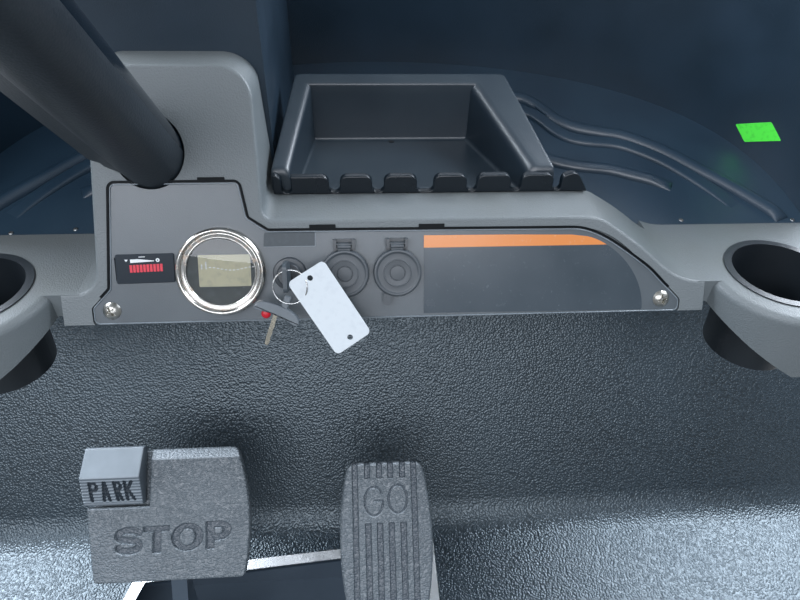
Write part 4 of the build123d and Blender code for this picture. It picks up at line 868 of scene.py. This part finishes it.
def pressed_ridge(points, half, high, square, side, fade_mm):
    """A bar along the points, sunk 1 mm: its section is high (1 - |x / half|^square)^0.5, and it shrinks over the
    last fade_mm by the power 0.6 of what is left."""
    run = smooth_run([(side * x, y) for x, y in points], 3.0)
    way = np.gradient(run, axis=0)
    way /= np.linalg.norm(way, axis=1)[:, None]
    x = np.concatenate(((1.0,), np.linspace(1, -1, 19), (-1.0,)))
    left = np.linalg.norm(run - run[-1], axis=1)[:, None]
    rise = high * np.sqrt(1 - np.abs(x) ** square) * np.clip(left / fade_mm, 0.0, 1) ** 0.6
    rise[:, (0, -1)] = -1.0
    points = ledge(run[:, :1] + way[:, 1:] * half * x, run[:, 1:] - way[:, :1] * half * x, rise)
    return points, rod(*rise.shape)


ridge_shapes = (
    (((148, 223), (168, 217), (181, 204), (191, 187), (201, 172), (219, 159), (245, 150.5), (269, 143), (303, 118),
      (335, 83), (361, 53), (385, 20), (391, 8)), 8.5, 6.9, 2.0, 13, 7),
    (((152, 192), (170, 188.5), (182.3, 175), (195, 153), (208, 140.5), (226, 134.5), (255, 130), (276, 119),
      (298, 101), (318, 79), (336, 55), (352, 30)), 8.5, 4.6, 5.0, 90, 6),
    (((165, 112), (174, 104), (188, 97), (208, 91), (236, 86), (260, 76), (279, 68), (296, 59)), 8.0, 6.6, 2.0, 24, 4))
ridges = [pressed_ridge(points[hidden if side < 0 else 0:], half, high, square, side, fade_mm)
          for side in (1, -1) for points, half, high, square, fade_mm, hidden in ridge_shapes]
make_piece("liner_ridges", join(*ridges), "liner_plastic", liner_plastic, crease=60)
rivets = [screw(leaning_plane((x, y, z), 78.7), (0.0, 0.0), 2.3, 0.4)
          for x, y, z in ((287.9, 359.6, 415.9), (-287.9, 359.6, 415.9), (-344.0, 355.9, 415.2), (400.9, 357.5, 415.5))]
make_piece("liner_rivets", join(*rivets), "switch_metal", plated("rivet_steel", "#8c9092", 0.34))
label_wide, label_high = 43.6, 19.8
label_corners = np.array(((394.5, 464.3, 447.7), (406.4, 426.8, 466.5), (400.1, 444.4, 478.9), (386.8, 479.7, 461.3)))


def label_wall(across, up, out):
    """Places on the right wall: the label's corners mixed by the shares across and up it, then out along its normal."""
    x, y, n = (v.reshape(-1, 1) for v in np.broadcast_arrays(np.asarray(across, float), up, out))
    x, y = x / label_wide, y / label_high
    low = label_corners[0] * (1 - x) + label_corners[1] * x
    high = label_corners[3] * (1 - x) + label_corners[2] * x
    return (low * (1 - y) + high * y + n * np.array((-0.922, -0.381, -0.07))) / 1000


make_piece("blank_green_label", plate(label_wall, rounded(box(0, 0, label_wide, label_high), 1.5), -0.6, 0.6, 0.15),
           "liner_plastic", printed("green_vinyl_film", "#5cf84e", "#48de42"))

# Steering column covers and wheel.
# Two glossy half shells are screwed round the column. The wheel above them has a moulded
# soft rim on a steel ring, with finger grips behind it, three spokes and a plain centre cap.
gloss, place = surfaced("gloss_black_plastic", "#0b141c", Roughness=0.2, Coat_Weight=0.3)
swirl = noise(place, 30, 5.0)
dress(finish(gloss, blend(swirl, "#09111a", "#111d27"), spread(swirl, 0.14, 0.3)), "column_cover_upper")
dress(faded_plastic("textured_cover_plastic", "#1b242c", "#232d35", "#2c363e", 1.6, 0.14, (0.36, 0.55)),
      "column_cover_lower")
column = leaning_plane((-187.4, 314.04, 515.43), 46.9)
wheel_r, wheel_out = 168, 450
theta, phi = circle(432), circle(30).T
grips = 0.9 * (0.5 - 0.5 * np.cos(54 * theta)) * np.clip(-np.sin(phi + 0.5), 0, 1) ** 1.5
seam = 0.25 * np.exp(-((np.abs(phi - np.pi / 2)) / 0.12) ** 2)
girth = 11.9 - grips - seam
rim_r = wheel_r + girth * np.cos(phi)
rim_block = (column(rim_r * np.cos(theta), rim_r * np.sin(theta), wheel_out + girth * np.sin(phi)),
             weave(*girth.shape, wrap_rows=True, wrap_cols=True))
make_piece("wheel_rim_grip", rim_block, "wheel_grip",
           pebbled_rubber("soft_grip_rubber", "#1d2125", "#262b30", 1.2, 0.12, (0.42, 0.58), bloom_mm=60), "wheel_rim",
           body="steering")
dress(black_plastic, "wheel_spokes", "hub_cap")

# Stage.
# Grey paper on the floor and a pale sky. Four broad soft lamps stand where the cart lets daylight
# in: over the windscreen, at both open sides and behind the driver.
floor_z, reach = cad_box[0][2] - 0.001, 6.0
floor_mesh = bpy.data.meshes.new("studio_floor")
floor_mesh.from_pydata([(x, y, floor_z) for x, y in box(-reach, -reach, reach, reach)], [], [(0, 1, 2, 3)])
floor = bpy.data.objects.new("studio_floor", floor_mesh)
scene.collection.objects.link(floor)
floor.data.materials.append(surfaced("studio_paper", "#787876", Roughness=0.9)[0])

world = bpy.data.worlds.new("studio_sky")
scene.world = world
world.use_nodes = True
sky = world.node_tree.nodes["Background"]
sky.inputs[0].default_value = linear("#e2ebf5")
sky.inputs[1].default_value = 0.42


def lamp(name, place, target, size, power, hue):
    """A soft light of size (across, high) in metres at place that faces target."""
    data = bpy.data.lights.new(name, "AREA")
    data.shape = "RECTANGLE"
    data.size, data.size_y = size
    data.energy = power
    data.color = linear(hue)[:3]
    holder = bpy.data.objects.new(name, data)
    holder.location = place
    holder.rotation_euler = (Vector(target) - Vector(place)).to_track_quat("-Z", "Y").to_euler()
    scene.collection.objects.link(holder)


lamp("windscreen_light", (0.1, 1.9, 1.4), (0, 0.25, 0.35), (3.4, 0.9), 36.0, "#f0f5ff")
lamp("left_side_light", (-1.4, 1.15, 1.45), (-1.4, 1.15, 0.0), (1.1, 1.4), 108.0, "#eaf3ff")
lamp("right_side_light", (1.35, 1.05, 1.45), (1.35, 1.05, 0.0), (1.2, 1.5), 84.0, "#eaf3ff")
lamp("driver_side_light", (-0.6, -1.7, 2.0), (0, 0.3, 0.4), (3.0, 1.3), 66.0, "#f2f6ff")

camera_data = bpy.data.cameras.new("cockpit_camera")
camera_data.lens = 27.0
camera_data.sensor_fit = "HORIZONTAL"
camera_data.clip_start = 0.01
camera = bpy.data.objects.new("cockpit_camera", camera_data)
right = Vector((0.9978, -0.0629, 0.0227))
ahead = Vector((0.0628, 0.7635, -0.6428))
above = right.cross(ahead)
camera.matrix_world = Matrix((
    (right.x, above.x, -ahead.x, -0.026), (right.y, above.y, -ahead.y, -0.123),
    (right.z, above.z, -ahead.z, 0.728), (0, 0, 0, 1)))
scene.collection.objects.link(camera)
scene.camera = camera
scene.view_settings.view_transform = "Standard"
